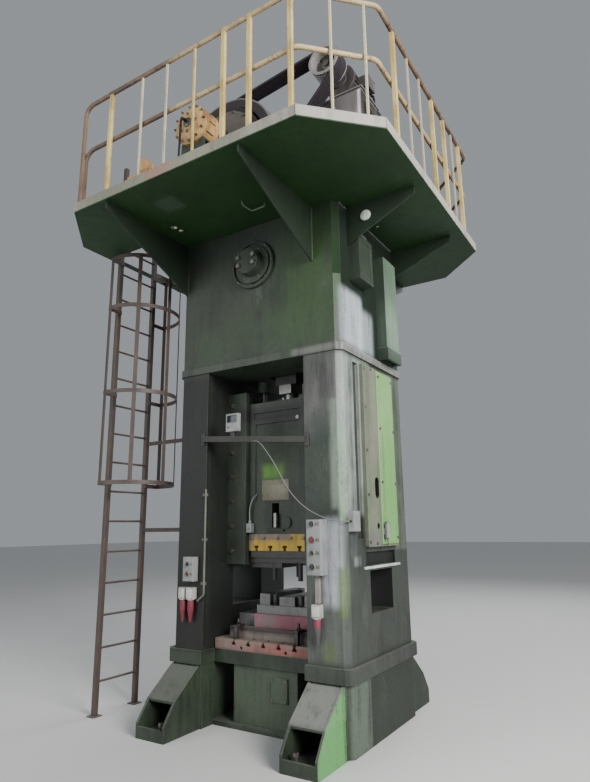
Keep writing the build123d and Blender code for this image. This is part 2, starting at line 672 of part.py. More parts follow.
def lower_die():
    """Lower half of the die set: shoe, wear plate and the forming blocks."""
    w, d = SHOE_HALF_W, SHOE_HALF_D
    shoe = block(-w, w, -d, d, BOLSTER_TOP_Z, LOWER_SHOE_TOP_Z)
    plate = block(-200, w - 30, -d + 55, d - 55, LOWER_SHOE_TOP_Z, LOWER_PLATE_TOP_Z)
    side = block(-w + 30, -215, -d + 100, d - 100, LOWER_SHOE_TOP_Z, LOWER_PLATE_TOP_Z - 8)
    step = LOWER_STEP_Z
    blocks = block(-190, w - 50, -d + 80, d - 80, LOWER_PLATE_TOP_Z, step)
    blocks += block(-170, -60, -d + 100, d - 100, step, LOWER_DIE_TOP_Z)
    blocks += block(40, 200, -d + 100, d - 100, step, LOWER_DIE_TOP_Z - 20)
    blocks += block(300, w - 60, -d + 100, d - 100, step, LOWER_DIE_TOP_Z)
    for y in (-GUIDE_Y, GUIDE_Y):
        for x in GUIDE_XS:
            blocks += rod_z(x, y, GUIDE_R + 22, step, LOWER_DIE_TOP_Z - 10)
            cut = rod_z(x, y, GUIDE_R + LOOSE, BOLSTER_TOP_Z + 20, LOWER_DIE_TOP_Z + 1)
            blocks -= cut
            plate -= cut
            shoe -= cut
    return {"die_shoe": [shoe], "die_plate": [plate], "lower_die": [blocks, side]}


def upper_die():
    """Upper half of the die set, held under the slide plate, with its guide pins."""
    outline = cut_corners(SLIDE_HALF_W - 15, SLIDE_HALF_D - 8, SLIDE_CHAMFER)
    shoe = prism_z(outline, SLIDE_BASE_Z - 60, SLIDE_BASE_Z)
    punch = block(-330, 330, -240, 240, UPPER_DIE_Z + 45, SLIDE_BASE_Z - 60)
    punch += block(-320, 20, -225, 225, UPPER_DIE_Z, UPPER_DIE_Z + 45)
    pins = []
    for y in (-GUIDE_Y, GUIDE_Y):
        for x in GUIDE_XS:
            punch -= rod_z(x, y, GUIDE_R + SEAT, UPPER_DIE_Z - 1, SLIDE_BASE_Z - 60)
            pins.append(rod_z(x, y, GUIDE_R, GUIDE_END_Z, SLIDE_BASE_Z - 60))
    return {"upper_die": [shoe, punch] + pins}


def slide_plate():
    """Plate under the slide, with T-slots and a chamfered upper edge."""
    w, d = SLIDE_HALF_W, SLIDE_HALF_D
    shape = prism_z(cut_corners(w, d, SLIDE_CHAMFER), SLIDE_BASE_Z, PLATE_TOP_Z)
    for x in t_slot_places(SLIDE_SLOTS):
        shape -= t_slot(x, -d, d, SLIDE_BASE_Z, -1)
    return [shape]


def slide():
    """Slide: a hollow ram with cut corners, stiffened front panel and knockout slot."""
    w, d = SLIDE_HALF_W, SLIDE_HALF_D
    outline = cut_corners(w, d, SLIDE_CHAMFER)
    shape = prism_z(outline, PLATE_TOP_Z, SLIDE_TOP_Z)
    inner = cut_corners(w - SLIDE_WALL, d - SLIDE_WALL, SLIDE_CHAMFER - 20)
    shape -= prism_z(inner, PLATE_TOP_Z + 300, SLIDE_TOP_Z + 1)
    # recessed panels front and back
    for side in (-1, 1):
        y = sorted((side * (d - 14), side * (d + 1)))
        shape -= block(-250, 250, *y, PLATE_TOP_Z + 300, SLIDE_TOP_Z - 210)
        shape -= block(-270, 270, *y, SLIDE_TOP_Z - 160, SLIDE_TOP_Z - 100)
    shape += block(-90, 80, -d - 22, -d, PLATE_TOP_Z + 24, PLATE_TOP_Z + 44)
    shape += rod_y(KNOCKOUT_X + 101, KNOCKOUT_Z - 25, 50, -d - 16, -d + 4)
    slot_z0 = KNOCKOUT_Z - KNOCKOUT_H / 2 - SEAT
    slot_z1 = KNOCKOUT_Z + KNOCKOUT_H / 2 + KNOCKOUT_LIFT + KNOCKOUT_SLOT_TOP
    slot_x0 = KNOCKOUT_X - KNOCKOUT_SLOT_LEFT
    slot_x1 = KNOCKOUT_X + KNOCKOUT_W / 2 + 3
    shape -= block(slot_x0, slot_x1, -d - 1, d + 1, slot_z0, slot_z1)
    return [shape]


def ball_cup():
    """Cup block inside the slide under the connecting rod's ball."""
    z0 = PLATE_TOP_Z + 300
    low = BALL_Z - BALL_R - BALL_ROOM
    high = BALL_Z + 40
    reach = THROW + BALL_R + BALL_ROOM
    shape = block(-BALL_R - 90, reach + 60, -BALL_R - 80, BALL_R + 80, z0, high)
    r = BALL_R + BALL_ROOM
    pocket = block(0, THROW, -r, r, low, high + 1) + rod_z(0, 0, r, low, high + 1)
    pocket += rod_z(THROW, 0, r, low, high + 1)
    return [shape - pocket]


def knockout_bar():
    d = SLIDE_HALF_D + KNOCKOUT_OUT
    w = KNOCKOUT_W / 2
    h = KNOCKOUT_H / 2
    bar = block(KNOCKOUT_X - w, KNOCKOUT_X + w, -d, d, KNOCKOUT_Z - h, KNOCKOUT_Z + h)
    return [chamfer(bar.edges().filter_by(Axis.Y), 4)]


def gib():
    """Front left gib: a long block on the upright that guides the slide's cut corner."""
    w, d, c = SLIDE_HALF_W, SLIDE_HALF_D, SLIDE_CHAMFER
    off = SEAT * sqrt(2)
    gap = GIB_SIDE_GAP
    y_back, y_front = -d + c + GIB_TAIL, -d - GIB_LIP
    points = [
        (-THROAT, y_back),
        (-w - gap, y_back),
        (-w - gap, -d + c + gap - off),
        (-w + c - gap, -d + gap - off),
        (-w + c - gap, y_front),
        (-THROAT, y_front),
    ]
    return prism_z(points, GIB_BASE_Z, GIB_TOP_Z)


def gib_bolts():
    out = []
    y = -SLIDE_HALF_D - GIB_LIP
    step = (GIB_TOP_Z - GIB_BASE_Z) / 7
    for i in range(7):
        z = GIB_BASE_Z + step * (i + 0.5)
        for piece in four(hex_head_y(-THROAT + 60, y, z, 36, 18)):
            out.append(piece)
    return out


def balancers():
    """Two air cylinders hung in the crown, and the rods that carry the slide's weight."""
    tubes = []
    rods = []
    for x in (-BALANCER_X, BALANCER_X):
        wall = 12.0
        tube = turned_z(
            x,
            0,
            [
                (BALANCER_ROD_R + 2, BALANCER_Z0),
                (BALANCER_R + wall, BALANCER_Z0),
                (BALANCER_R + wall, CROWN_BASE_Z + WALL + SEAT),
                (BALANCER_R + wall + 30, CROWN_BASE_Z + WALL + SEAT),
                (BALANCER_R + wall + 30, CROWN_BASE_Z + WALL + 24),
                (BALANCER_R + wall, CROWN_BASE_Z + WALL + 24),
                (BALANCER_R + wall, BALANCER_Z1),
                (0, BALANCER_Z1),
                (0, BALANCER_Z1 - 20),
                (BALANCER_R, BALANCER_Z1 - 20),
                (BALANCER_R, BALANCER_Z0 + 20),
                (BALANCER_ROD_R + 2, BALANCER_Z0 + 20),
            ],
        )
        tubes.append(tube)
        piston_z = BALANCER_Z1 - 20 - 60
        rod = rod_z(x, 0, BALANCER_ROD_R, SLIDE_TOP_Z + 26, piston_z)
        rod += rod_z(x, 0, BALANCER_R - FIT, piston_z, piston_z + 50)
        foot_w = BALANCER_ROD_R + 26
        side = 1 if x > 0 else -1
        x_arm = sorted((x - side * foot_w, side * SLIDE_HALF_W))
        rod += block(*x_arm, -foot_w, foot_w, SLIDE_TOP_Z, SLIDE_TOP_Z + 26)
        rods.append(rod)
    return {"balancer_cylinders": tubes, "balancer_rods": rods}


def crankshaft():
    """Crankshaft with two cheeks and an offset pin."""
    half = PIN_LEN / 2
    shape = rod_y(0, CRANK_Z, JOURNAL_R, -HALF_D + 12, -half - CHEEK_T)
    shape += rod_y(0, CRANK_Z, JOURNAL_R, half + CHEEK_T, HALF_D - 10)
    shape += rod_y(0, PIN_Z, PIN_R, -half, half)
    for y0, y1 in ((-half - CHEEK_T, -half), (half, half + CHEEK_T)):
        web = rod_y(0, CRANK_Z, JOURNAL_R + 50, y0, y1) + rod_y(0, PIN_Z, PIN_R + 26, y0, y1)
        web += block(-JOURNAL_R - 44, JOURNAL_R + 44, y0, y1, CRANK_Z, PIN_Z)
        shape += web
    key_w = 50.0
    slot_y = (BULL_Y0 - 4, BULL_Y1 + 4)
    shape -= block(-key_w / 2, key_w / 2, *slot_y, CRANK_Z + JOURNAL_R - 16, CRANK_Z + JOURNAL_R + 1)
    return [shape]


def crank_bushes():
    """Bronze bushes of the crankshaft's front and rear bearings."""
    half = PIN_LEN / 2 + CHEEK_T + 6
    out = []
    for y0, y1 in ((-HALF_D + 8, -half), (half, BULL_Y0 - 10), (BULL_Y1 + 8, HALF_D - 6)):
        bush = rod_y(0, CRANK_Z, JOURNAL_R + BUSH_T - FIT, y0, y1)
        out.append(bush - rod_y(0, CRANK_Z, JOURNAL_R + FIT, y0 - 1, y1 + 1))
    return out


def bull_gear():
    """Large gear on the crankshaft, with a dished web and lightening holes."""
    phase = 90.0
    shape = gear_y(0, CRANK_Z, BULL_TEETH, BULL_MODULE, phase, BULL_Y0, BULL_Y1, JOURNAL_R + FIT)
    root_r = BULL_MODULE * BULL_TEETH / 2 - 1.2 * BULL_MODULE
    rim_r = root_r - 50
    hub_r = JOURNAL_R + 75
    for y0, y1 in ((BULL_Y0 - 1, BULL_Y0 + 38), (BULL_Y1 - 38, BULL_Y1 + 1)):
        shape -= rod_y(0, CRANK_Z, rim_r, y0, y1) - rod_y(0, CRANK_Z, hub_r, y0, y1)
    mid_r = (rim_r + hub_r) / 2
    for i in range(6):
        a = radians(60 * i)
        shape -= rod_y(mid_r * cos(a), CRANK_Z + mid_r * sin(a), 80, BULL_Y0, BULL_Y1)
    key_w = 50.0
    shape -= block(-key_w / 2, key_w / 2, BULL_Y0 - 1, BULL_Y1 + 1, CRANK_Z + 100, CRANK_Z + JOURNAL_R + 14)
    return [shape]


def bull_key():
    w = 25.0 - FIT
    return [block(-w, w, BULL_Y0, BULL_Y1, CRANK_Z + JOURNAL_R - 16, CRANK_Z + JOURNAL_R + 14 - FIT)]


def connecting_rod():
    """Connecting rod with a split big end: rod, cap, bush and cap bolts."""
    half = PIN_LEN / 2 - 3
    eye_r = PIN_R + BUSH_T + ROD_EYE_WALL
    bore = PIN_R + BUSH_T
    full = rod_y(0, PIN_Z, eye_r, -half, half)
    ear = eye_r + 60
    full += block(-ear, ear, -half + 30, half - 30, PIN_Z - 70, PIN_Z + 70)
    w = ROD_HALF_W
    shank = [
        (-eye_r * 0.86, PIN_Z - eye_r * 0.5),
        (eye_r * 0.86, PIN_Z - eye_r * 0.5),
        (w, PIN_Z - eye_r - 150),
        (w, ROD_FOOT_Z),
        (-w, ROD_FOOT_Z),
        (-w, PIN_Z - eye_r - 150),
    ]
    rod = full + prism_y(shank, -half + 15, half - 15)
    rod -= rod_y(0, PIN_Z, bore, -half - 1, half + 1)
    rod -= rod_z(0, 0, SCREW_R + FIT, ROD_FOOT_Z - 1, ROD_FOOT_Z + 520)
    split = block(-ear - 1, ear + 1, -half - 1, half + 1, PIN_Z, PIN_Z + eye_r + 1)
    cap = full - rod_y(0, PIN_Z, bore, -half - 1, half + 1)
    cap = cap & split
    rod -= split
    bolts = []
    for x in (-ear + 34, ear - 34):
        for y in (-60.0, 60.0):
            hole = rod_z(x, y, 18 + 1, PIN_Z - 71, PIN_Z + 71)
            cap -= hole
            rod -= hole
            bolt = rod_z(x, y, 18, PIN_Z - 100, PIN_Z + 80)
            bolt += Pos(x, y, PIN_Z + 70 + SEAT) * hex_bar(54, 30)
            bolt += Pos(x, y, PIN_Z - 70 - SEAT - 28) * hex_bar(54, 28)
            bolts.append(bolt)
    bush = rod_y(0, PIN_Z, bore - FIT, -half, half)
    bush -= rod_y(0, PIN_Z, PIN_R + FIT, -half - 1, half + 1)
    return {"connecting_rod": [rod, bush], "rod_cap": [cap] + bolts}


def adjusting_screw():
    """Ball-ended screw that sets the shut height, with its clamp nut."""
    top = ROD_FOOT_Z + 420
    neck = SCREW_R - 14
    screw = rod_z(0, 0, SCREW_R, ROD_FOOT_Z - 190, top)
    screw += rod_z(0, 0, neck, BALL_Z, ROD_FOOT_Z - 190)
    screw += Pos(0, 0, BALL_Z) * Sphere(BALL_R)
    z0 = ROD_FOOT_Z - 92
    nut = Pos(0, 0, z0) * hex_bar(240, 92 - SEAT) - rod_z(0, 0, SCREW_R + FIT, z0 - 1, ROD_FOOT_Z)
    return {"adjusting_screw": [screw, nut]}


def middle_shaft():
    """Second-stage shaft with the slow pinion cut on it, and the middle gear."""
    shaft = rod_y(0, MID_Z, MID_SHAFT_R, MID_Y0 - 20, HALF_D - 8)
    slow_phase = 270.0 + 180.0 / SLOW_PINION_TEETH
    slow = (SLOW_PINION_TEETH, BULL_MODULE, slow_phase)
    shaft += gear_y(0, MID_Z, *slow, BULL_Y0, BULL_Y1, MID_SHAFT_R - 20)
    big = (MID_GEAR_TEETH, MID_MODULE, FAST_ANGLE)
    gear = gear_y(0, MID_Z, *big, MID_Y0, MID_Y1, MID_SHAFT_R + FIT)
    rim_r = MID_MODULE * MID_GEAR_TEETH / 2 - 45
    for y0, y1 in ((MID_Y0 - 1, MID_Y0 + 28), (MID_Y1 - 28, MID_Y1 + 1)):
        gear -= rod_y(0, MID_Z, rim_r, y0, y1) - rod_y(0, MID_Z, MID_SHAFT_R + 50, y0, y1)
    bushes = []
    for y0, y1 in ((MID_Y1 + 12, BULL_Y0 - 8), (BULL_Y1 + 8, HALF_D - 6)):
        bush = rod_y(0, MID_Z, MID_SHAFT_R + BUSH_T - FIT, y0, y1)
        bushes.append(bush - rod_y(0, MID_Z, MID_SHAFT_R + FIT, y0 - 1, y1 + 1))
    return {"middle_shaft": [shaft, gear], "middle_bushes": bushes}


def fast_shaft():
    """Fast shaft with its pinion, its two bearing pedestals and their caps."""
    x, z = FAST_SHIFT_X, FAST_Z
    shaft = rod_y(x, z, FAST_SHAFT_R, BRAKE_Y0 + 60, REAR_PEDESTAL[1] + 20)
    shaft += rod_y(x, z, FAST_SHAFT_R + 14, FLYWHEEL_Y1 + 2, FRONT_PEDESTAL[0] - 2)
    phase = FAST_ANGLE + 180.0 + 180.0 / FAST_PINION_TEETH
    small = (FAST_PINION_TEETH, MID_MODULE, phase)
    shaft += gear_y(x, z, *small, MID_Y0 - 8, MID_Y1 + 8, FAST_SHAFT_R - 20)
    bases = []
    caps = []
    for y0, y1 in (FRONT_PEDESTAL, REAR_PEDESTAL):
        r = FAST_SHAFT_R + 52
        outline = [(x - r - 70, CROWN_TOP_Z), (x + r + 70, CROWN_TOP_Z), (x + r, z), (x - r, z)]
        base = prism_y(outline, y0, y1) - rod_y(x, z, FAST_SHAFT_R + FIT, y0 - 1, y1 + 1)
        cap = rod_y(x, z, r, y0, y1) - rod_y(x, z, FAST_SHAFT_R + FIT, y0 - 1, y1 + 1)
        cap -= block(x - r - 1, x + r + 1, y0 - 1, y1 + 1, z - r - 1, z)
        bases.append(base)
        caps.append(cap)
    return {"fast_shaft": [shaft], "bearing_pedestals": bases + caps}


def gear_guard():
    """Sheet cover over the middle gear and the fast pinion, open at the bottom."""
    y0, y1 = MID_Y0 - 22, MID_Y1 + 22
    t = 5.0

    def body(grow, low):
        r_gear = MID_MODULE * MID_GEAR_TEETH / 2 + 24 + grow
        r_fast = MID_MODULE * FAST_PINION_TEETH / 2 + 24 + grow
        gap = t - grow
        shape = rod_y(0, MID_Z, r_gear, y0 + gap, y1 - gap)
        shape += rod_y(FAST_SHIFT_X, FAST_Z, r_fast, y0 + gap, y1 - gap)
        a = radians(FAST_ANGLE)
        side = asin((r_gear - r_fast) / FAST_DISTANCE)
        points = []
        for sign in (1, -1):
            n = a + sign * (pi / 2 - side)
            near = (r_gear * cos(n), MID_Z + r_gear * sin(n))
            far = (FAST_SHIFT_X + r_fast * cos(n), FAST_Z + r_fast * sin(n))
            points += [near, far] if sign > 0 else [far, near]
        shape += prism_y(points, y0 + gap, y1 - gap)
        return shape - block(-900, 900, y0 - 5, y1 + 5, MID_Z - 900, low)

    shell = body(t, CROWN_TOP_Z) - body(0.0, CROWN_TOP_Z - 1)
    rise = CROWN_TOP_Z - MID_Z
    half = sqrt((MID_MODULE * MID_GEAR_TEETH / 2 + 24) ** 2 - rise**2)
    reach = MID_MODULE * MID_GEAR_TEETH / 2 + 110
    flange = block(-reach, reach - 30, y0 - 20, y1 + 20, CROWN_TOP_Z, CROWN_TOP_Z + 6)
    shell += flange - block(-half, half, y0 + t, y1 - t, CROWN_TOP_Z - 1, CROWN_TOP_Z + 7)
    return [shell - rod_y(FAST_SHIFT_X, FAST_Z, FAST_SHAFT_R + 6, y0 - 5, y1 + 5)]


def belt_centres(y0, y1):
    middle = (y0 + y1) / 2
    return [middle + (i - (BELT_COUNT - 1) / 2) * BELT_PITCH for i in range(BELT_COUNT)]


def grooved_rim(radius, y0, y1):
    """Section points of a rim with belt grooves, from y0 to y1."""
    points = [(radius, y0)]
    for y in belt_centres(FLYWHEEL_Y0, FLYWHEEL_Y1):
        wide, narrow = BELT_W / 2 + 0.8, BELT_IN_W / 2 + 0.6
        points += [
            (radius, y - wide),
            (radius - GROOVE_DEPTH, y - narrow),
            (radius - GROOVE_DEPTH, y + narrow),
            (radius, y + wide),
        ]
    return points + [(radius, y1)]


def flywheel():
    """Flywheel with belt grooves, dished web and hub, free on the fast shaft."""
    bore = FAST_SHAFT_R + BUSH_T
    hub = bore + 55
    web0, web1 = FLYWHEEL_Y0 + 90, FLYWHEEL_Y0 + 130
    rim_in = FLYWHEEL_R - 95
    profile = grooved_rim(FLYWHEEL_R, FLYWHEEL_Y0, FLYWHEEL_Y1)
    profile += [
        (rim_in, FLYWHEEL_Y1),
        (rim_in - 12, web1),
        (hub, web1),
        (hub, FLYWHEEL_Y1),
        (bore, FLYWHEEL_Y1),
        (bore, FLYWHEEL_Y0 + 14),
        (hub, FLYWHEEL_Y0 + 14),
        (hub, web0),
        (rim_in - 12, web0),
        (rim_in, FLYWHEEL_Y0),
    ]
    shape = turned_y(FAST_SHIFT_X, FAST_Z, profile)
    ring_r = (hub + rim_in) / 2
    for i in range(5):
        a = radians(72 * i + 18)
        shape -= rod_y(FAST_SHIFT_X + ring_r * cos(a), FAST_Z + ring_r * sin(a), 78, web0 - 1, web1 + 1)
    bush = rod_y(FAST_SHIFT_X, FAST_Z, bore - FIT, FLYWHEEL_Y0 + 14, FLYWHEEL_Y1)
    bush -= rod_y(FAST_SHIFT_X, FAST_Z, FAST_SHAFT_R + FIT, FLYWHEEL_Y0, FLYWHEEL_Y1 + 1)
    return {"flywheel": [shape, bush]}


def clutch():
    """Clutch plate keyed to the fast shaft in front of the flywheel."""
    x, z = FAST_SHIFT_X, FAST_Z
    y0, y1 = FLYWHEEL_Y0 - 95, FLYWHEEL_Y0 - 6
    profile = [
        (FAST_SHAFT_R + FIT, y0),
        (FAST_SHAFT_R + 60, y0),
        (FAST_SHAFT_R + 70, y0 + 40),
        (430, y0 + 52),
        (448, y0 + 60),
        (448, y1),
        (FAST_SHAFT_R + FIT, y1),
    ]
    return [turned_y(x, z, profile)]


def brake():
    """Brake housing on a stand at the front end of the fast shaft, with its disc."""
    x, z = FAST_SHIFT_X, FAST_Z
    r = BRAKE_R
    inner = r - 38
    y0, y1 = BRAKE_Y0, BRAKE_Y1
    profile = [
        (FAST_SHAFT_R + 12, y1),
        (r, y1),
        (r, y1 - 44),
        (r - 14, y1 - 52),
        (r - 14, y0 + 84),
        (r, y0 + 76),
        (r, y0 + 44),
        (r - 30, y0 + 18),
        (r - 80, y0),
        (0, y0),
        (0, y0 + 20),
        (r - 96, y0 + 20),
        (inner, y0 + 52),
        (inner, y1 - 20),
        (FAST_SHAFT_R + 12, y1 - 20),
    ]
    shape = turned_y(x, z, profile)
    ribs = 12
    for i in range(ribs):
        a = 360.0 / ribs * i
        rib = block(r - 20, r - 2, y0 + 78, y1 - 46, -5, 5)
        shape += Pos(x, 0, z) * Rot(0, a, 0) * rib
    base_w = 190.0
    head_w = 130.0
    foot_z = DECK_TOP_Z
    stand = block(x - base_w, x + base_w, y0 + 50, y1 - 20, foot_z, foot_z + 30)
    top_z = z - r * 0.80
    leg = [(x - base_w + 20, foot_z + 30), (x + base_w - 20, foot_z + 30)]
    leg += [(x + head_w, top_z), (x - head_w, top_z)]
    for y in (y0 + 80, y1 - 50):
        stand += prism_y(leg, y - 12, y + 12)
    stand += block(x - head_w, x + head_w, y0 + 64, y1 - 34, top_z - 20, top_z)
    stand -= rod_y(x, z, r + SEAT, y0, y1)
    disc = rod_y(x, z, inner - 10, y0 + 90, y0 + 124)
    disc -= rod_y(x, z, FAST_SHAFT_R + FIT, y0 + 89, y0 + 125)
    return {"brake_housing": [shape], "brake_stand": [stand], "brake_disc": [disc]}


def motor_pulley():
    x, z = MOTOR_X, MOTOR_Z
    y0, y1 = FLYWHEEL_Y0 + 15, FLYWHEEL_Y1 - 15
    profile = grooved_rim(PULLEY_R, y0, y1)
    rim = PULLEY_R - GROOVE_DEPTH - 16
    profile += [
        (rim, y1),
        (rim, y1 - 60),
        (MOTOR_SHAFT_R + 30, y1 - 60),
        (MOTOR_SHAFT_R + 30, y1),
        (MOTOR_SHAFT_R + FIT, y1),
        (MOTOR_SHAFT_R + FIT, y1 - 110),
        (MOTOR_SHAFT_R + 30, y1 - 110),
        (rim, y1 - 110),
        (rim + 6, y0),
    ]
    shape = turned_y(x, z, profile)
    ring_r = (rim + MOTOR_SHAFT_R + 30) / 2
    for i in range(4):
        a = radians(90 * i + 45)
        shape -= rod_y(x + ring_r * cos(a), z + ring_r * sin(a), 20, y1 - 111, y1 - 59)
    shaft = rod_y(x, z, MOTOR_SHAFT_R, y1 - 100, MOTOR_Y0 + 60)
    return {"motor_pulley": [shape, shaft]}


def motor():
    """Motor body with cooling fins, end shields, feet and fan cover, on its stand."""
    x, z = MOTOR_X, MOTOR_Z
    r = MOTOR_R
    y0, y1 = MOTOR_Y0, MOTOR_Y1
    body = rod_y(x, z, r - 20, y0 + 40, y1 - 90)
    fins = 20
    for i in range(fins):
        a = 360.0 / fins * (i + 0.5)
        fin = block(r - 32, r - 2, y0 + 60, y1 - 110, -3.0, 3.0)
        body += Pos(x, 0, z) * Rot(0, a, 0) * fin
    body += rod_y(x, z, r, y0 + 10, y0 + 45) + rod_y(x, z, r, y1 - 110, y1 - 85)
    body += rod_y(x, z, r / 2, y0, y0 + 20)
    foot_z = z - r - MOTOR_FOOT_GAP
    for side in (-1, 1):
        for y in (y0 + 90, y1 - 160):
            xs = sorted((x + side * 70, x + side * (r + 20)))
            body += block(*xs, y - 32, y + 32, foot_z, foot_z + 24)
            xs = sorted((x + side * 80, x + side * (r - 30)))
            body += block(*xs, y - 26, y + 26, foot_z, z - 60)
    body += block(x + r - 60, x + r + 70, y0 + 150, y0 + 300, z - 50, z + 70)
    body -= rod_y(x, z, MOTOR_SHAFT_R + FIT, y0 - 1, y0 + 61)
    cowl = rod_y(x, z, r - 8, y1 - 84.7, y1) - rod_y(x, z, r - 14, y1 - 86, y1 - 8)
    for i in range(8):
        a = radians(45 * i)
        cowl -= rod_y(x + r / 2 * cos(a), z + r / 2 * sin(a), 22, y1 - 20, y1 + 1)
    # stand: a top plate, a left plate on the crown and a leaning right plate on the deck
    top = foot_z - STAND_TOP_T
    left = HALF_W - STAND_LEFT
    low, high = HALF_W + STAND_LOW, HALF_W + STAND_HIGH
    plate_y = (y0 + 10, y1 - 40)
    stand = block(left - 35, high + 24, y0, y1 - 20, top, foot_z)
    stand += block(left - STAND_T, left, *plate_y, CROWN_TOP_Z, top)
    side = [(low, DECK_TOP_Z), (low + STAND_T, DECK_TOP_Z), (high + STAND_T, top), (high, top)]
    stand += prism_y(side, *plate_y)
    knee_z = CROWN_TOP_Z - 180
    knee_x = low + (high - low) * (knee_z - DECK_TOP_Z) / (top - DECK_TOP_Z)
    front = [(left, CROWN_TOP_Z), (knee_x - 45, CROWN_TOP_Z), (knee_x, knee_z), (high, top), (left, top)]
    stand += prism_y(front, y0 + 10, y0 + 28)
    notch = TIE_NUT_R + 25
    notch_z = (CROWN_TOP_Z - 1, CROWN_TOP_Z + TIE_NUT_H + 45)
    stand -= block(TIE_X - notch, TIE_X + notch, y0, y0 + 30, *notch_z)
    return {"motor_body": [body, cowl], "motor_stand": [stand]}


def belts():
    """V-belts round the flywheel and the motor pulley, lying in their grooves."""
    x0, z0, x1, z1 = FAST_SHIFT_X, FAST_Z, MOTOR_X, MOTOR_Z
    distance = sqrt((x1 - x0) ** 2 + (z1 - z0) ** 2)
    base = atan2(z1 - z0, x1 - x0)
    sink = SEAT + 0.1 - GROOVE_DEPTH
    ra, rb = FLYWHEEL_R + sink, PULLEY_R + sink
    lean = acos((ra - rb) / distance)
    out = []
    for y in belt_centres(FLYWHEEL_Y0, FLYWHEEL_Y1):

        def at(cx, cz, r, a):
            return (cx + r * cos(a), y, cz + r * sin(a))

        wheel_up, wheel_down = at(x0, z0, ra, base + lean), at(x0, z0, ra, base - lean)
        pulley_up, pulley_down = at(x1, z1, rb, base + lean), at(x1, z1, rb, base - lean)
        high = Line(wheel_up, pulley_up)
        small = ThreePointArc(pulley_up, at(x1, z1, rb, base), pulley_down)
        low = Line(pulley_down, wheel_down)
        big = ThreePointArc(wheel_down, at(x0, z0, ra, base + pi), wheel_up)
        path = Wire([high, small, low, big])
        # the section's own y axis points away from the wheels
        plane = Plane(origin=wheel_up, x_dir=(0, 1, 0), z_dir=high % 0)
        w, n = BELT_W / 2, BELT_IN_W / 2
        sign = 1 if plane.y_dir.Z > 0 else -1
        corners = [(-n, 0), (n, 0), (w, sign * BELT_T), (-w, sign * BELT_T)]
        out.append(sweep(plane * make_face(Polyline(*corners, close=True)), path=path))
    return out


def deck_outline(inset):
    """Corners of the octagonal deck, drawn in by an inset."""
    x0, x1 = DECK_LEFT + inset, DECK_RIGHT - inset
    y0, y1 = DECK_FRONT + inset, DECK_BACK - inset
    c = DECK_CUT - inset * (2 - sqrt(2))
    right = [(x1 - c, y0), (x1, y0 + c), (x1, y1 - c), (x1 - c, y1)]
    return [(x0 + c, y0)] + right + [(x0 + c, y1), (x0, y1 - c), (x0, y0 + c)]


def platform():
    """Deck plate with its hatch and pipe holes, toe board and brackets under it."""
    deck = prism_z(deck_outline(0), DECK_Z, DECK_TOP_Z)
    z0, z1 = DECK_Z - 1, DECK_TOP_Z + 1
    deck -= prism_z(cut_corners(HALF_W + DECK_GAP, HALF_D + DECK_GAP, FRAME_CHAMFER), z0, z1)
    deck -= block(HATCH_X0, HATCH_X1, HATCH_Y0, HATCH_Y1, z0, z1)
    holes = [(-HALF_W + 231, -HALF_D - 407, 32), (-HALF_W + 247, -HALF_D - 326, 24)]
    holes += [(-HALF_W - 50, -HALF_D + 50, 36), (HALF_W + 109, -HALF_D + 404, 47)]
    holes += [(HALF_W + 109, -HALF_D + 675, 18)]
    for x, y, r in holes:
        deck -= rod_z(x, y, r, z0, z1)
    toe_top = DECK_Z + TOE_H
    toe = prism_z(deck_outline(0), DECK_TOP_Z, toe_top)
    toe -= prism_z(deck_outline(TOE_T), z0, toe_top + 1)
    half = LADDER_HALF + 60
    toe -= block(DECK_LEFT - 1, HATCH_X0, LADDER_Y - half, LADDER_Y + half, DECK_TOP_Z, toe_top + 1)
    brackets = []

    def plate_y(x_out, x_in, y, low):
        """A triangular plate across Y, from the frame's side at x_in to the deck's edge."""
        points = [(x_in, DECK_Z), (x_out, DECK_Z), (x_out, DECK_Z - 60), (x_in, DECK_Z - low)]
        return prism_y(points, y - BRACKET_T / 2, y + BRACKET_T / 2)

    def plate_x(y_out, y_in, x, low):
        """A triangular plate across X, from the frame's front or back to the deck's edge."""
        points = [(y_in, DECK_Z), (y_out, DECK_Z), (y_out, DECK_Z - 60), (y_in, DECK_Z - low)]
        return prism_x(points, x - BRACKET_T / 2, x + BRACKET_T / 2)

    for x in (-HALF_W + 60, HALF_W - 260):
        brackets.append(plate_x(DECK_FRONT + 25, -HALF_D, x, 540.0))
        brackets.append(plate_x(DECK_BACK - 25, HALF_D, x, 540.0))
    brackets.append(plate_y(DECK_RIGHT - 107, HALF_W, SIDE_BRACKET_Y, 370.0))
    brackets.append(plate_y(DECK_RIGHT - 121, HALF_W, HALF_D - 60, 320.0))
    brackets.append(plate_y(DECK_LEFT + 90, -HALF_W, HATCH_Y1 + 30, 370.0))
    brackets.append(plate_y(DECK_LEFT + 90, -HALF_W, HALF_D - 60, 320.0))
    return {"platform_deck": [deck], "toe_board": [toe], "platform_brackets": brackets}


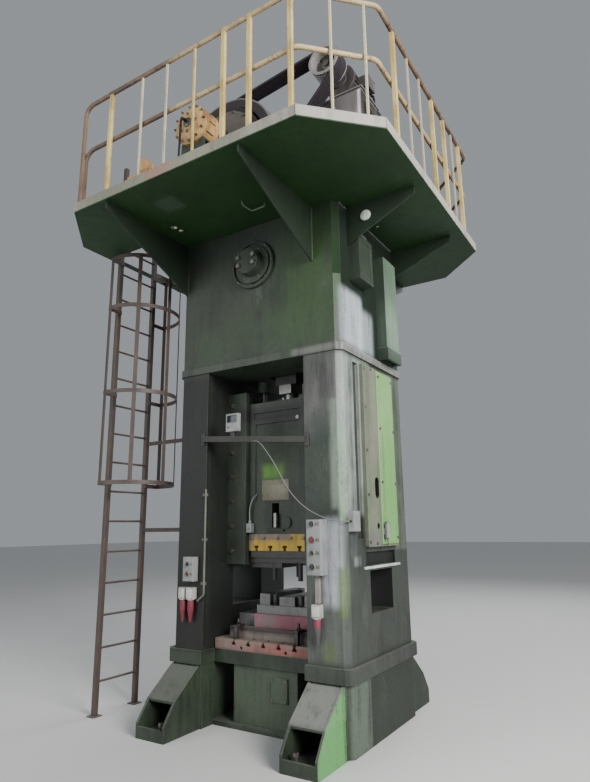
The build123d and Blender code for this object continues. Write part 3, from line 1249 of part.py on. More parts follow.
def guardrail():
    """Posts on the deck along the toe board, and two bent pipes along them."""
    line = deck_outline(RAIL_INSET)
    x_left, x_right = line[7][0], line[2][0]
    y_front, y_back = line[0][1], line[4][1]
    cut_x, cut_y = line[1][0], line[1][1]
    w, d = HALF_W, HALF_D
    thick = [(x, y_front) for x in (-w + 50, w - 418, w - 160, cut_x - 43)]
    thick += [(x_right, y) for y in (-d - 335, -40.0, d - 350, d + 150)]
    thick += [(x, y_back) for x in (cut_x - 89, w - 500, -w + 600, -w - 150)]
    thick += [(x_left, y) for y in (d + 400, d - 90, HATCH_Y1 + 120)]
    thin = [(x, y_front) for x in (-w + 450, -w + 750, w - 730)]
    thin += [(x_right, y) for y in (-d - 10, -d + 280, d - 90)]
    thin += [(cut_x + step, cut_y + step) for step in (195.0, 390.0)]
    posts = []
    for places, width in ((thick, POST_W), (thin, THIN_POST_W)):
        for x, y in places:
            h = width / 2
            posts.append(block(x - h, x + h, y - h, y + h, DECK_TOP_Z + SEAT, RAIL_Z - RAIL_R - SEAT))
    rails = []
    step = POST_W / 2 + RAIL_R + SEAT
    for z, inset in ((RAIL_Z, 0.0), (MID_RAIL_Z, step)):
        ring = deck_outline(RAIL_INSET + inset)
        start = (RAIL_END_X, ring[0][1])
        end = (ring[6][0], RAIL_END_Y)
        corners = [start] + ring[1:7] + [end]
        drop = DECK_TOP_Z + SEAT
        points = [(*start, drop)] + [(x, y, z) for x, y in corners] + [(*end, drop)]
        path = FilletPolyline(points, radius=[RAIL_BEND] * (len(points) - 2))
        section = Plane(origin=path @ 0, z_dir=path % 0) * Circle(RAIL_R)
        rails.append(sweep(section, path=path))
    return {"guardrail_posts": posts, "guardrail_rails": rails}


def ladder():
    """Ladder from the floor to above the deck, with stand-off arms and safety cage."""
    x, y = LADDER_X, LADDER_Y
    s = LADDER_STILE / 2
    inner = LADDER_HALF - s
    pieces = []
    for side in (-1, 1):
        ys = sorted((y + side * inner, y + side * (inner + LADDER_STILE)))
        pieces.append(block(x - s, x + s, *ys, 0, LADDER_TOP_Z))
    z = RUNG_PITCH
    while z < DECK_Z + RUNG_PITCH:
        pieces.append(rod_y(x, z, RUNG_R, y - inner, y + inner))
        z += RUNG_PITCH
    arm_h = 20.0
    arm_y = y + LADDER_HALF
    for z in LADDER_ARM_ZS:
        arm = block(x + s, -HALF_W - 8, arm_y - 6, arm_y + 6, z - arm_h, z + arm_h)
        pieces.append(arm + block(-HALF_W - 8, -HALF_W, arm_y - 60, arm_y + 60, z - 40, z + 40))
    face = x + s + SEAT
    cx = x + CAGE_OUT
    hoop_z = CAGE_ZS
    half_h = CAGE_BAR_W / 2
    y_end = sqrt(CAGE_R**2 - (cx - face) ** 2)
    cage = None
    for z in hoop_z:
        ring = rod_z(cx, y, CAGE_R, z - half_h, z + half_h) - rod_z(cx, y, CAGE_R - CAGE_T, z - 30, z + 30)
        ring -= block(cx - CAGE_R - 1, face, y - CAGE_R - 1, y + CAGE_R + 1, z - 30, z + 30)
        for side in (-1, 1):
            ys = sorted((y + side * (LADDER_HALF - s), y + side * (y_end - 1)))
            ring += block(face, face + CAGE_T, *ys, z - half_h, z + half_h)
        cage = ring if cage is None else cage + ring
    for a in (-98.0, -49.0, 0.0, 49.0, 98.0):
        bar = block(CAGE_R - CAGE_T, CAGE_R, -half_h, half_h, hoop_z[0] - half_h, hoop_z[-1] + half_h)
        cage += Pos(cx, y, 0) * Rot(0, 0, a) * bar
    return {"ladder": pieces, "ladder_cage": [cage]}


def crank_cover():
    """Round cover over the front bearing, with a raised ring and four large bolts."""
    y = -HALF_D
    profile = [
        (0, y),
        (238, y),
        (238, y - 28),
        (230, y - 34),
        (214, y - 34),
        (214, y - 14),
        (190, y - 14),
        (190, y - 34),
        (132, y - 38),
        (126, y - 124),
        (120, y - 130),
        (0, y - 130),
    ]
    cover = turned_y(0, CRANK_Z, profile)
    bolts = []
    for angle in (25.0, 155.0, 205.0, 335.0):
        a = radians(angle)
        bolts.append(hex_head_y(95 * cos(a), y - 130, CRANK_Z + 95 * sin(a), 40, 22))
    return [cover], bolts


def crown_boxes():
    """Valve box and air trunk on the right side of the crown."""
    x = HALF_W
    face = x + VALVE_OUT
    box = block(x, face, VALVE_Y0, VALVE_Y1, VALVE_Z0, VALVE_Z1)
    box -= block(face - 6, face + 1, VALVE_Y0 + 25, VALVE_Y1 - 25, VALVE_Z0 + 60, VALVE_Z1 - 50)
    for i in range(4):
        box -= rod_x(VALVE_Y0 + 75 + 42 * i, VALVE_Z0 + 30, 9, face - 30, face + 1)
    y0, y1, t = TRUNK_Y0, TRUNK_Y1, TRUNK_T
    out = x + TRUNK_OUT
    trunk = block(x, out, y0, y1, TRUNK_Z0, TRUNK_Z1)
    grow = TRUNK_MOUTH_OUT
    mouth_z = TRUNK_Z0 - 50
    mouth = block(x, out + grow, y0 - grow, y1 + grow, mouth_z, mouth_z + TRUNK_MOUTH_H)
    trunk += chamfer(mouth.faces().sort_by(Axis.Z)[-1].edges(), grow - 2)
    trunk -= block(x + t, out - t, y0 + t, y1 - t, mouth_z - 1, TRUNK_Z1 - t)
    return {"crown_side_boxes": [box], "air_trunk": [trunk]}


def control_box():
    """Control box on the right upright, with its four buttons."""
    y = -HALF_D
    box = block(BOX_X0, BOX_X1, y - BOX_DEPTH, y, BOX_Z0, BOX_Z1)
    box = fillet(box.faces().sort_by(Axis.Y)[0].edges(), 6)
    places = {
        "button_start": (BOX_Z0 + 392, 17.0),
        "button_stop": (BOX_Z0 + 269, 20.0),
        "button_inch": (BOX_Z0 + 170, 12.0),
        "button_select": (BOX_Z0 + 65, 17.0),
    }
    nodes = {}
    for name, (z, r) in places.items():
        front = y - BOX_DEPTH
        box += rod_y(BUTTON_X, z, r + 7, front - 8, front + 4)
        box -= rod_y(BUTTON_X, z, r + SEAT, front - 9, front + 16)
        nodes[name] = [rod_y(BUTTON_X, z, r, front - 8 - BUTTON_TRAVEL - 6, front + 2)]
    nodes["control_boxes"] = [box]
    return nodes


def left_controls():
    """Small button box and power sockets on the front of the left upright."""
    y = -HALF_D
    d = LEFT_BOX_DEPTH
    box = block(LEFT_BOX_X0, LEFT_BOX_X1, y - d, y, LEFT_BOX_Z0, LEFT_BOX_Z1)
    box = fillet(box.faces().sort_by(Axis.Y)[0].edges(), 5)
    nodes = {}
    x = (LEFT_BOX_X0 + LEFT_BOX_X1) / 2
    for name, z in (("button_left_upper", LEFT_BOX_Z0 + 150), ("button_left_lower", LEFT_BOX_Z0 + 65)):
        front = y - d
        box += rod_y(x, z, 22, front - 7, front + 4)
        box -= rod_y(x, z, 15 + SEAT, front - 8, front + 16)
        nodes[name] = [rod_y(x, z, 15, front - 7 - BUTTON_TRAVEL - 5, front + 2)]
    nodes["left_box"] = [box]
    sockets = []
    plugs = []
    for x, z in SOCKETS:
        sockets.append(block(x - 36, x + 36, y - 62, y, z - 40, z + 60))
        top = z - 40 - SEAT
        profile = [(0, top), (25, top), (30, z - 70), (30, z - 130), (20, z - 175), (9, z - 235)]
        plugs.append(turned_z(x, y - 36, profile + [(0, z - 235)]))
    x, z = SOCKETS[2]
    conduit = block(x - 16, x + 20, y - 34, y, z + 65, BOX_Z0 - 20)
    conduit += block(x - 10, x + 14, y - 30, y, BOX_Z0 - 20, BOX_Z0 - SEAT)
    nodes["power_sockets"] = sockets + plugs + [conduit]
    return nodes


def small_fittings():
    """Junction box, grease unit, cross bar with its sensor, and the air pipe."""
    x = HALF_W
    y = -HALF_D
    junction_y = y + JUNCTION_BACK
    junction = block(x, x + 46, junction_y, junction_y + JUNCTION_W, 1620, 1780)
    oiler_x = x + SIDE_COVER_T + SIDE_STRIP_T
    oiler_y = SIDE_STRIP_Y0 + 26
    oiler_z = SIDE_COVER_Z0 + OILER_UP
    oiler = rod_z(oiler_x + 30, oiler_y, 24, oiler_z, oiler_z + OILER_H)
    oiler += block(oiler_x, oiler_x + 36, oiler_y - 18, oiler_y + 18, oiler_z + 30, oiler_z + 80)
    z = CROSS_BAR_Z
    bar = block(-THROAT - 30, THROAT + 10, y - 30, y, -26, 26)
    bar = Pos(0, 0, z) * Rot(0, CROSS_BAR_LEAN, 0) * bar
    bar = bar & block(-THROAT - 55, THROAT + 35, y - 40, y + 1, z - 128, z + 172)
    bar += block(-THROAT - 65, -THROAT - 25, y - 12, y, z - 8, z + 102)
    bar += block(THROAT + 5, THROAT + 45, y - 12, y, z - 103, z + 7)
    bar += block(-235, -195, y - 28, y - 4, z + 12, z + 88)
    wire_x, wire_y, wire_z = WIRE_POINTS[0]
    bar += block(wire_x - 26, wire_x, wire_y - 8, y - 30, wire_z - 10, wire_z + 10)
    sensor = block(-278, -140, y - 44, y - 2, z + 88, z + 252)
    pipe_x = -THROAT + 16
    low = (-THROAT - 60, y - 20, AIR_PIPE_ZS[0])
    path = FilletPolyline((pipe_x, y - 20, AIR_PIPE_ZS[2]), (pipe_x, y - 20, AIR_PIPE_ZS[1]), low, radius=30)
    section = Plane(origin=path @ 0, z_dir=path % 0) * Circle(9)
    pipe = sweep(section, path=path)
    clip = (-THROAT - 30, -THROAT + 27, y - 11 + SEAT, y)
    clips = [block(*clip, z - 12, z + 12) for z in AIR_CLIP_ZS]
    return {
        "small_boxes": [junction, sensor, oiler],
        "cross_bar": [bar],
        "air_pipe": [pipe] + clips,
    }


def deck_cabinet():
    """Terminal cabinet and lubrication unit on the deck."""
    x0, y0 = HALF_W + CABINET_OUT, -HALF_D - CABINET_FRONT
    x1, y1, z1 = x0 + CABINET_W, y0 + CABINET_D, DECK_TOP_Z + CABINET_H
    cabinet = block(x0, x1, y0, y1, DECK_TOP_Z, z1)
    cabinet += block(x0 - 15, x1 + 15, y0 - 15, y1 + 15, z1, z1 + 14)
    x, y, z = -HALF_W + TANK_IN, -HALF_D - TANK_FRONT, DECK_TOP_Z + TANK_H
    half_w, half_d = TANK_W / 2, TANK_D / 2
    tank = block(x - half_w, x + half_w, y - half_d, y + half_d, DECK_TOP_Z, z)
    tank += rod_z(x, y, 75, z, z + 110)
    tank += rod_y(x, z + 100, 62, y - 100, y + 80)
    return {"deck_cabinet": [cabinet], "lubrication_unit": [tank]}


def sensor_wire():
    """Thin cable from the cross bar to the junction box, as a tube."""
    points = [Vector(*p) for p in WIRE_POINTS]
    radii = []
    for a, b, c in zip(points, points[1:], points[2:]):
        before, after = b - a, c - b
        turn = radians(before.get_angle(after))
        radii.append(0.45 * min(before.length, after.length) / tan(turn / 2))
    path = FilletPolyline(points, radius=radii)
    section = Plane(origin=path @ 0, z_dir=path % 0) * Circle(WIRE_R)
    tube = sweep(section, path=path)
    ratio = tube.volume / (path.length * pi * WIRE_R**2)
    print("wire radii", [round(r) for r in radii])
    print("wire length", round(path.length), "volume ratio", round(ratio, 4))
    return [tube]


def build_nodes():
    """All the nodes: each name with its list of solids."""
    right = upright()
    cover = side_cover()
    cap, cap_bolts = crank_cover()
    nodes = {
        "bed": [bed()],
        "upright_right": [right],
        "upright_left": [mirrored_x(right)],
        "side_covers": [cover, mirrored_x(cover)],
        "front_covers": bed_cover() + cap,
        "frame_bolts": bed_cover_bolts() + gib_bolts() + cap_bolts + jack_screws(),
        "crown": [crown()],
        "tie_rods": tie_rods(),
        "bolster": bolster(),
        "slide": slide() + ball_cup(),
        "slide_plate": slide_plate(),
        "knockout_bar": knockout_bar(),
        "slide_gibs": four(gib()),
        "crankshaft": crankshaft(),
        "bull_gear": bull_gear() + bull_key(),
        "gear_guard": gear_guard(),
        "v_belts": belts(),
        "sensor_wire": sensor_wire(),
    }
    groups = (lower_die, upper_die, balancers, connecting_rod, adjusting_screw, middle_shaft)
    groups += (fast_shaft, flywheel, brake, motor_pulley, motor, platform, guardrail, ladder)
    groups += (crown_boxes,)
    groups += (control_box, left_controls, small_fittings, deck_cabinet)
    for group in groups:
        nodes.update(group())
    nodes["shaft_bushes"] = crank_bushes() + nodes.pop("middle_bushes")
    nodes["clutch_and_brake"] = clutch() + nodes.pop("brake_disc")
    nodes["control_boxes"] += nodes.pop("left_box")
    return nodes


def write_nodes(nodes):
    os.makedirs("parts", exist_ok=True)
    for name, shapes in nodes.items():
        solids = []
        for shape in shapes:
            solids += shape.solids()
        whole = Compound(children=solids) if len(solids) > 1 else solids[0]
        export_step(whole, f"parts/{name}.step")
    print(len(nodes), "nodes")


write_nodes(build_nodes())
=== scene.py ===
import logging
import math
from dataclasses import dataclass, field
from enum import Enum
from typing import Callable, ClassVar, Iterable, Optional, Sequence, Union

import bmesh
import bpy
from mathutils import Matrix, Vector


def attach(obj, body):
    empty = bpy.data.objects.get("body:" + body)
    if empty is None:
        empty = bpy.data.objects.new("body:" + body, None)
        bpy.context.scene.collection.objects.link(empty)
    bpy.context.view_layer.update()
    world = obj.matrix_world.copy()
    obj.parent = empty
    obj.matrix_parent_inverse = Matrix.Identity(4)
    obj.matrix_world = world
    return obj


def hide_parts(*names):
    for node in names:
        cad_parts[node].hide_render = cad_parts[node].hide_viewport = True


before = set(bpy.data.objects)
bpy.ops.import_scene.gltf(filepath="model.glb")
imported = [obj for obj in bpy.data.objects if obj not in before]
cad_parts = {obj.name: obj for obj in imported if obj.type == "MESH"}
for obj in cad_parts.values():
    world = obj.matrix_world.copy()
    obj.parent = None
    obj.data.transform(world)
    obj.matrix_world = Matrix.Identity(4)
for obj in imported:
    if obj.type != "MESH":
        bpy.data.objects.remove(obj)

LOG = logging.getLogger("crank_press")
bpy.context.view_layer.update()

Point = tuple[float, float, float]
Colour = tuple[float, float, float]
Row = tuple[float, ...]
Pair = tuple[float, float]
Track = tuple[Point, ...]
Profile = tuple[Pair, ...]
Piece = bpy.types.Object
Socket = bpy.types.NodeSocket

# Sizes shared with the solids, in metres
HALF_W = 0.9
HALF_D = 0.65
CROWN_TOP = 5.02
DECK_TOP = 4.53
SHAFT_Z = 4.852
SHAFT_GAP = 0.43
FAST_X = -0.17
FAST_Z = SHAFT_Z + math.sqrt(SHAFT_GAP**2 - FAST_X**2)
MOTOR_X = 0.943
MOTOR_Z = 5.789
PEDESTAL_YS = ((-0.63, -0.54), (0.35, 0.44))
RAIL_Z = 5.65

# How forms are rounded and shaded
BEVEL_STEPS = 2
CORNER_STEPS = 4
PIECE_SMOOTH = 38.0
NODE_SMOOTH = 32.0
WELD_GAP = 2e-5
DOUBLE_GAP = 1e-6


def rgb(red: int, green: int, blue: int) -> Colour:
    """Turns a display colour into a linear one.

    Args:
        red: Red from 0 to 255.
        green: Green from 0 to 255.
        blue: Blue from 0 to 255.

    Returns:
        The same colour in linear light.
    """
    def one(value: float) -> float:
        """Decodes one channel."""
        value /= 255
        return value / 12.92 if value <= 0.04045 else ((value + 0.055) / 1.055) ** 2.4

    return one(red), one(green), one(blue)


class Facing(Enum):
    """Directions that a bolt, a stub or a turned form can face."""

    FRONT = (0.0, -1.0, 0.0)
    BACK = (0.0, 1.0, 0.0)
    RIGHT = (1.0, 0.0, 0.0)
    LEFT = (-1.0, 0.0, 0.0)
    UP = (0.0, 0.0, 1.0)

    @property
    def vector(self) -> Vector:
        """The direction as a vector."""
        return Vector(self.value)


class Side(Enum):
    """Sides of the deck: where the top rail runs, and the step that leads inward."""

    FRONT = (-1.7397, (0, 1))
    BACK = (1.5497, (0, -1))
    RIGHT = (1.6397, (-1, 0))
    LEFT = (-1.6997, (1, 0))

    @property
    def line(self) -> float:
        """Where the rail runs, in x or in y."""
        return self.value[0]

    @property
    def inward(self) -> tuple[int, int]:
        """The step in x and y that leads inward."""
        return self.value[1]


class Mirror(Enum):
    """Ways to mirror a shape: the factor on each axis."""

    X = (-1, 1, 1)
    Y = (1, -1, 1)


@dataclass(frozen=True)
class Bolt:
    """A hexagon head: width across flats, height, washer or none; the rest are shares of them."""

    across: float
    height: float
    washer: bool = True

    washer_rise: ClassVar[float] = 0.16
    washer_reach: ClassVar[float] = 0.62
    washer_bevel: ClassVar[float] = 0.3
    chamfer_rise: ClassVar[float] = 0.2
    corner_reach: ClassVar[float] = 0.577
    top_reach: ClassVar[float] = 0.47


# ---------------------------------------------------------------- shader graph


class Value:
    """A number socket that can stand in a Python expression."""

    def __init__(self, graph: "Graph", socket: Socket) -> None:
        """Keeps the graph and the socket."""
        self.graph = graph
        self.socket = socket

    def _math(self, operation: str, first: "Operand", second: "Operand") -> "Value":
        """Adds one Math node.

        Args:
            operation: The Math node's operation.
            first: Its first operand.
            second: Its second operand.

        Returns:
            The node's result.
        """
        node = self.graph.node("ShaderNodeMath", {"operation": operation}, {0: first, 1: second})
        return Value(self.graph, node.outputs[0])

    def __add__(self, other: "Operand") -> "Value":
        """Sum."""
        return self._math("ADD", self, other)

    def __sub__(self, other: "Operand") -> "Value":
        """Difference."""
        return self._math("SUBTRACT", self, other)

    def __rsub__(self, other: "Operand") -> "Value":
        """Difference from a number."""
        return self._math("SUBTRACT", other, self)

    def __mul__(self, other: "Operand") -> "Value":
        """Product."""
        return self._math("MULTIPLY", self, other)

    def __pow__(self, other: "Operand") -> "Value":
        """Power."""
        return self._math("POWER", self, other)

    def most(self, other: "Operand") -> "Value":
        """The larger of two values."""
        return self._math("MAXIMUM", self, other)

    def step(self, low: float, high: float) -> "Value":
        """A smooth rise from 0 at low to 1 at high.

        Args:
            low: Where the rise starts.
            high: Where it ends; below low it falls instead.

        Returns:
            The eased value.
        """
        settings = {"interpolation_type": "SMOOTHSTEP"}
        inputs = {0: self, 1: low, 2: high, 3: 0.0, 4: 1.0}
        return Value(self.graph, self.graph.node("ShaderNodeMapRange", settings, inputs).outputs[0])


Operand = Union[Value, float]


class Graph:
    """The node tree of one material, with short ways to add to it."""

    endless: ClassVar[float] = 50.0
    edge_dots: ClassVar[Pair] = (0.985, 0.80)

    def __init__(self, name: str) -> None:
        """Starts a material with an empty tree.

        Args:
            name: The material's name.
        """
        self.material = bpy.data.materials.new(name)
        self.material.use_nodes = True
        self.tree = self.material.node_tree
        self.tree.nodes.clear()
        coords = self.node("ShaderNodeTexCoord", {}, {})
        self.place = coords.outputs["Object"]
        split = self.node("ShaderNodeSeparateXYZ", {}, {0: self.place})
        self.x, self.y, self.z = (Value(self, out) for out in split.outputs)

    def node(self, kind: str, settings: dict, inputs: dict) -> bpy.types.Node:
        """Adds a node, sets it up and fills its sockets.

        Args:
            kind: The node's type.
            settings: Attributes that are set first.
            inputs: Socket names or numbers, each with a value or a link.

        Returns:
            The new node.
        """
        made = self.tree.nodes.new(kind)
        for key, value in settings.items():
            setattr(made, key, value)
        for key, value in inputs.items():
            target = made.inputs[key]
            source = value.socket if isinstance(value, Value) else value
            if isinstance(source, Socket):
                self.tree.links.new(source, target)
            elif target.type == "RGBA" and len(source) == 3:
                target.default_value = (*source, 1.0)
            else:
                target.default_value = source
        return made

    def noise(self, scale: float, detail: float = 4.0, stretch: Point = (1.0, 1.0, 1.0),
              rough: float = 0.6, shift: float = 0.0) -> Value:
        """Noise over the object's own coordinates.

        Args:
            scale: Cells per metre.
            detail: Octaves.
            stretch: Factor on each axis; a small one draws the pattern out along it.
            rough: How strong the fine octaves are.
            shift: Moves the pattern, so that two noises differ.

        Returns:
            The noise, about 0.5 on average.
        """
        moved = {0: self.place, 1: (shift, shift * 0.7, shift * 1.3), 3: stretch}
        mapping = self.node("ShaderNodeMapping", {}, moved)
        inputs = {"Vector": mapping.outputs[0], "Scale": scale, "Detail": detail,
                  "Roughness": rough}
        return Value(self, self.node("ShaderNodeTexNoise", {}, inputs).outputs[0])

    def mix(self, amount: Operand, first: object, second: object) -> Socket:
        """Mixes two colours.

        Args:
            amount: 0 gives the first and 1 the second.
            first: A colour or a colour socket.
            second: A colour or a colour socket.

        Returns:
            The mixed colour's socket.
        """
        settings = {"data_type": "RGBA", "clamp_factor": True}
        return self.node("ShaderNodeMix", settings, {0: amount, 6: first, 7: second}).outputs[2]

    def box_mask(self, low: Point, high: Point, soft: float) -> Value:
        """A mask that is 1 inside a box and fades over its edge.

        Args:
            low: The box's lowest corner.
            high: The box's highest corner.
            soft: Half the width of the fade; an axis on which the box is endless has none.

        Returns:
            The mask.
        """
        mask: Optional[Value] = None
        for axis, lo, hi in zip((self.x, self.y, self.z), low, high):
            if hi - lo > self.endless:
                continue
            side = axis.step(lo - soft, lo + soft) * axis.step(hi + soft, hi - soft)
            mask = side if mask is None else mask * side
        return mask

    def ring_mask(self, x: float, z: float, low: float, high: float, soft: float) -> Value:
        """A mask that is 1 between two radii about an axis from front to back.

        Args:
            x: Where the axis is.
            z: Its height.
            low: The inner radius.
            high: The outer radius.
            soft: Half the width of the fade.

        Returns:
            The mask.
        """
        across, up = self.x - x, self.z - z
        radius = (across * across + up * up) ** 0.5
        return radius.step(low - soft, low + soft) * radius.step(high + soft, high - soft)

    def edges(self, radius: float) -> tuple[Value, Socket]:
        """Finds edges by comparing rounded normals with the true ones.

        Args:
            radius: Radius of the rounding in metres.

        Returns:
            A mask of the edges and the rounded normal.
        """
        rounded = self.node("ShaderNodeBevel", {"samples": 4}, {0: radius}).outputs[0]
        true = self.node("ShaderNodeNewGeometry", {}, {}).outputs["Normal"]
        dot = self.node("ShaderNodeVectorMath", {"operation": "DOT_PRODUCT"}, {0: rounded, 1: true})
        return Value(self, dot.outputs["Value"]).step(*self.edge_dots), rounded

    def upward(self) -> Value:
        """How far the surface faces up: the height of its true normal."""
        true = self.node("ShaderNodeNewGeometry", {}, {}).outputs["True Normal"]
        return Value(self, self.node("ShaderNodeSeparateXYZ", {}, {0: true}).outputs[2])

    def close(self, colour: object, rough: Operand, bump: Optional[Value] = None,
              strength: float = 0.2, distance: float = 0.004, normal: Optional[Socket] = None,
              metallic: Operand = 0.0) -> bpy.types.Material:
        """Ends the graph in a principled shader.

        Args:
            colour: Base colour or its socket.
            rough: Roughness.
            bump: Height for the bump, or nothing.
            strength: Strength of the bump.
            distance: Height of the bump in metres.
            normal: Normal that the bump starts from.
            metallic: Metallic value.

        Returns:
            The finished material.
        """
        inputs = {"Base Color": colour, "Roughness": rough, "Metallic": metallic}
        if bump is not None:
            sockets = {"Strength": strength, "Distance": distance, "Height": bump}
            if normal is not None:
                sockets["Normal"] = normal
            inputs["Normal"] = self.node("ShaderNodeBump", {}, sockets).outputs[0]
        shader = self.node("ShaderNodeBsdfPrincipled", {}, inputs)
        self.node("ShaderNodeOutputMaterial", {}, {0: shader.outputs[0]})
        return self.material


# ---------------------------------------------------------------- finishes


@dataclass(frozen=True)
class Tint:
    """A patch of another colour over part of a finish: some are the thing's own colours, others are
    painted shade or painted highlights.
    """

    colour: Colour
    low: Point
    high: Point
    soft: float = 0.1
    amount: float = 1.0
    streak: bool = True
    dull: float = 0.0


@dataclass(frozen=True)
class Ring:
    """A round band of another colour about an axis from front to back."""

    colour: Colour
    x: float
    z: float
    low: float
    high: float
    soft: float = 0.006
    amount: float = 0.9


@dataclass(frozen=True)
class Paint:
    """Old workshop paint: uneven, streaked, dusty, chipped at its edges and greasy."""

    name: str
    base: Colour
    second: Colour
    grime: Colour = rgb(32, 35, 31)
    chip: Colour = rgb(120, 118, 110)
    rust: Colour = rgb(92, 62, 44)
    dust: Colour = rgb(140, 142, 134)
    grime_amount: float = 0.5
    rust_amount: float = 0.15
    chip_amount: float = 0.6
    dust_amount: float = 0.35
    rough: float = 0.52
    edge: float = 0.005
    scale: float = 1.0
    fade: Colour = rgb(128, 132, 124)
    fade_amount: float = 0.0
    tints: tuple[Tint, ...] = ()

    cloud_cells: ClassVar[float] = 1.6
    streak_cells: ClassVar[float] = 9.0
    fine_cells: ClassVar[float] = 46.0
    rub_cells: ClassVar[float] = 4.2
    spot_cells: ClassVar[float] = 11.0
    base_band: ClassVar[Pair] = (0.40, 0.60)
    fade_band: ClassVar[Pair] = (0.545, 0.66)
    tint_band: ClassVar[Pair] = (0.36, 0.66)
    grime_band: ClassVar[Pair] = (0.50, 0.66)
    rust_band: ClassVar[Pair] = (0.60, 0.68)
    up_band: ClassVar[Pair] = (0.3, 0.9)
    dust_band: ClassVar[Pair] = (0.25, 0.6)
    chip_band: ClassVar[Pair] = (0.42, 0.56)
    bump: ClassVar[Pair] = (0.14, 0.003)

    def build(self) -> bpy.types.Material:
        """Builds the material: base, fading, tints, grime, rust, dust and chipped edges.

        Returns:
            The finished material.
        """
        g = Graph(self.name)
        cloud = g.noise(self.cloud_cells * self.scale, 6.0)
        streak = g.noise(self.streak_cells * self.scale, 5.0, (1.0, 1.0, 0.10), 0.65, 3.0)
        fine = g.noise(self.fine_cells * self.scale, 4.0, rough=0.7, shift=7.0)
        amount = (cloud * 0.6 + streak * 0.4).step(*self.base_band)
        colour = g.mix(amount, self.base, self.second)
        if self.fade_amount > 0:
            rub = g.noise(self.rub_cells * self.scale, 8.0, (1.0, 1.0, 0.45), 0.72, 17.0)
            amount = (rub * 0.75 + fine * 0.25).step(*self.fade_band) * self.fade_amount
            colour = g.mix(amount, colour, self.fade)
        dull: Operand = 0.0
        for tint in self.tints:
            mask = g.box_mask(tint.low, tint.high, tint.soft)
            if tint.dull > 0:
                dull = mask * tint.dull + dull
            if tint.streak:
                mask = mask * (streak * 0.7 + cloud * 0.5).step(*self.tint_band)
            colour = g.mix(mask * tint.amount, colour, tint.colour)
        grime = (streak * 0.55 + cloud * 0.25 + fine * 0.2).step(*self.grime_band)
        grime = grime * self.grime_amount
        colour = g.mix(grime, colour, self.grime)
        spots = fine * 0.6 + g.noise(self.spot_cells * self.scale, 3.0, shift=11.0) * 0.4
        colour = g.mix(spots.step(*self.rust_band) * self.rust_amount, colour, self.rust)
        dust = g.upward().step(*self.up_band) * cloud.step(*self.dust_band) * self.dust_amount
        colour = g.mix(dust, colour, self.dust)
        edge, normal = g.edges(self.edge)
        worn = edge * (fine * 0.5 + streak * 0.5).step(*self.chip_band) * self.chip_amount
        colour = g.mix(worn, colour, self.chip)
        rough = (fine - 0.5) * 0.35 + (self.rough + 0.06) - grime * 0.12
        if isinstance(dull, Value):
            rough = rough + dull
        height = fine * 0.5 + streak * 0.5
        return g.close(colour, rough.most(0.2), height, *self.bump, normal)


@dataclass(frozen=True)
class Metal:
    """Bare metal: turned, ground or cast, with oil films and rusty freckles."""

    name: str
    base: Colour
    dark: Colour = rgb(38, 36, 34)
    rust: Colour = rgb(96, 66, 46)
    metallic: float = 0.85
    rough: float = 0.38
    oil: float = 0.4
    rust_amount: float = 0.25
    grain: float = 30.0
    edge: float = 0.003
    rings: tuple[Ring, ...] = ()

    cloud_cells: ClassVar[float] = 3.0
    oil_band: ClassVar[Pair] = (0.44, 0.64)
    freckle_band: ClassVar[Pair] = (0.55, 0.68)
    edge_amount: ClassVar[float] = 0.45
    bump: ClassVar[Pair] = (0.12, 0.002)

    def build(self) -> bpy.types.Material:
        """Builds the material: base, rings, oil, freckles and bright edges.

        Returns:
            The finished material.
        """
        g = Graph(self.name)
        cloud = g.noise(self.cloud_cells, 5.0)
        grain = g.noise(self.grain, 5.0, shift=5.0, rough=0.7)
        colour: object = self.base
        for ring in self.rings:
            mask = g.ring_mask(ring.x, ring.z, ring.low, ring.high, ring.soft)
            colour = g.mix(mask * ring.amount, colour, ring.colour)
        oil = (cloud * 0.7 + grain * 0.3).step(*self.oil_band) * self.oil
        colour = g.mix(oil, colour, self.dark)
        freckle = (grain * 0.65 + cloud * 0.35).step(*self.freckle_band) * self.rust_amount
        colour = g.mix(freckle, colour, self.rust)
        edge, normal = g.edges(self.edge)
        bright = tuple(min(1.0, c * 1.7 + 0.05) for c in self.base)
        colour = g.mix(edge * self.edge_amount, colour, bright)
        metallic = (1.0 - freckle) * self.metallic
        rough = (grain - 0.5) * 0.3 + self.rough + freckle * 0.3
        return g.close(colour, rough.most(0.15), grain, *self.bump, normal, metallic)


@dataclass(frozen=True)
class Plastic:
    """Moulded plastic or rubber with handling marks."""

    name: str
    base: Colour
    mark: Colour = rgb(120, 118, 112)
    rough: float = 0.42
    mark_amount: float = 0.25
    edge: float = 0.0015

    cloud_cells: ClassVar[float] = 14.0
    fine_cells: ClassVar[float] = 160.0
    mark_band: ClassVar[Pair] = (0.52, 0.68)
    bump: ClassVar[Pair] = (0.05, 0.001)

    def build(self) -> bpy.types.Material:
        """Builds the material: base and marks.

        Returns:
            The finished material.
        """
        g = Graph(self.name)
        cloud = g.noise(self.cloud_cells, 4.0)
        fine = g.noise(self.fine_cells, 3.0, shift=4.0)
        marks = (cloud * 0.5 + fine * 0.5).step(*self.mark_band) * self.mark_amount
        colour = g.mix(marks, self.base, self.mark)
        _, normal = g.edges(self.edge)
        rough = (fine - 0.5) * 0.2 + self.rough + marks * 0.3
        return g.close(colour, rough, fine, *self.bump, normal)


Finish = Union[Paint, Metal, Plastic]

# Colours that come up more than once, and a distance beyond the whole machine
GREEN_DARK = rgb(32, 40, 31)
GREEN_MID = rgb(52, 64, 48)
MOSS = rgb(44, 76, 22)
# Pale painted sheen, laid on right-hand faces where light falls
PALE_SHEEN = rgb(150, 160, 154)
# The frame's green as it looks lit on the foot's right side: painted light
LIT_MINT = rgb(96, 158, 92)
MAUVE = rgb(104, 100, 102)
FAR = 100.0

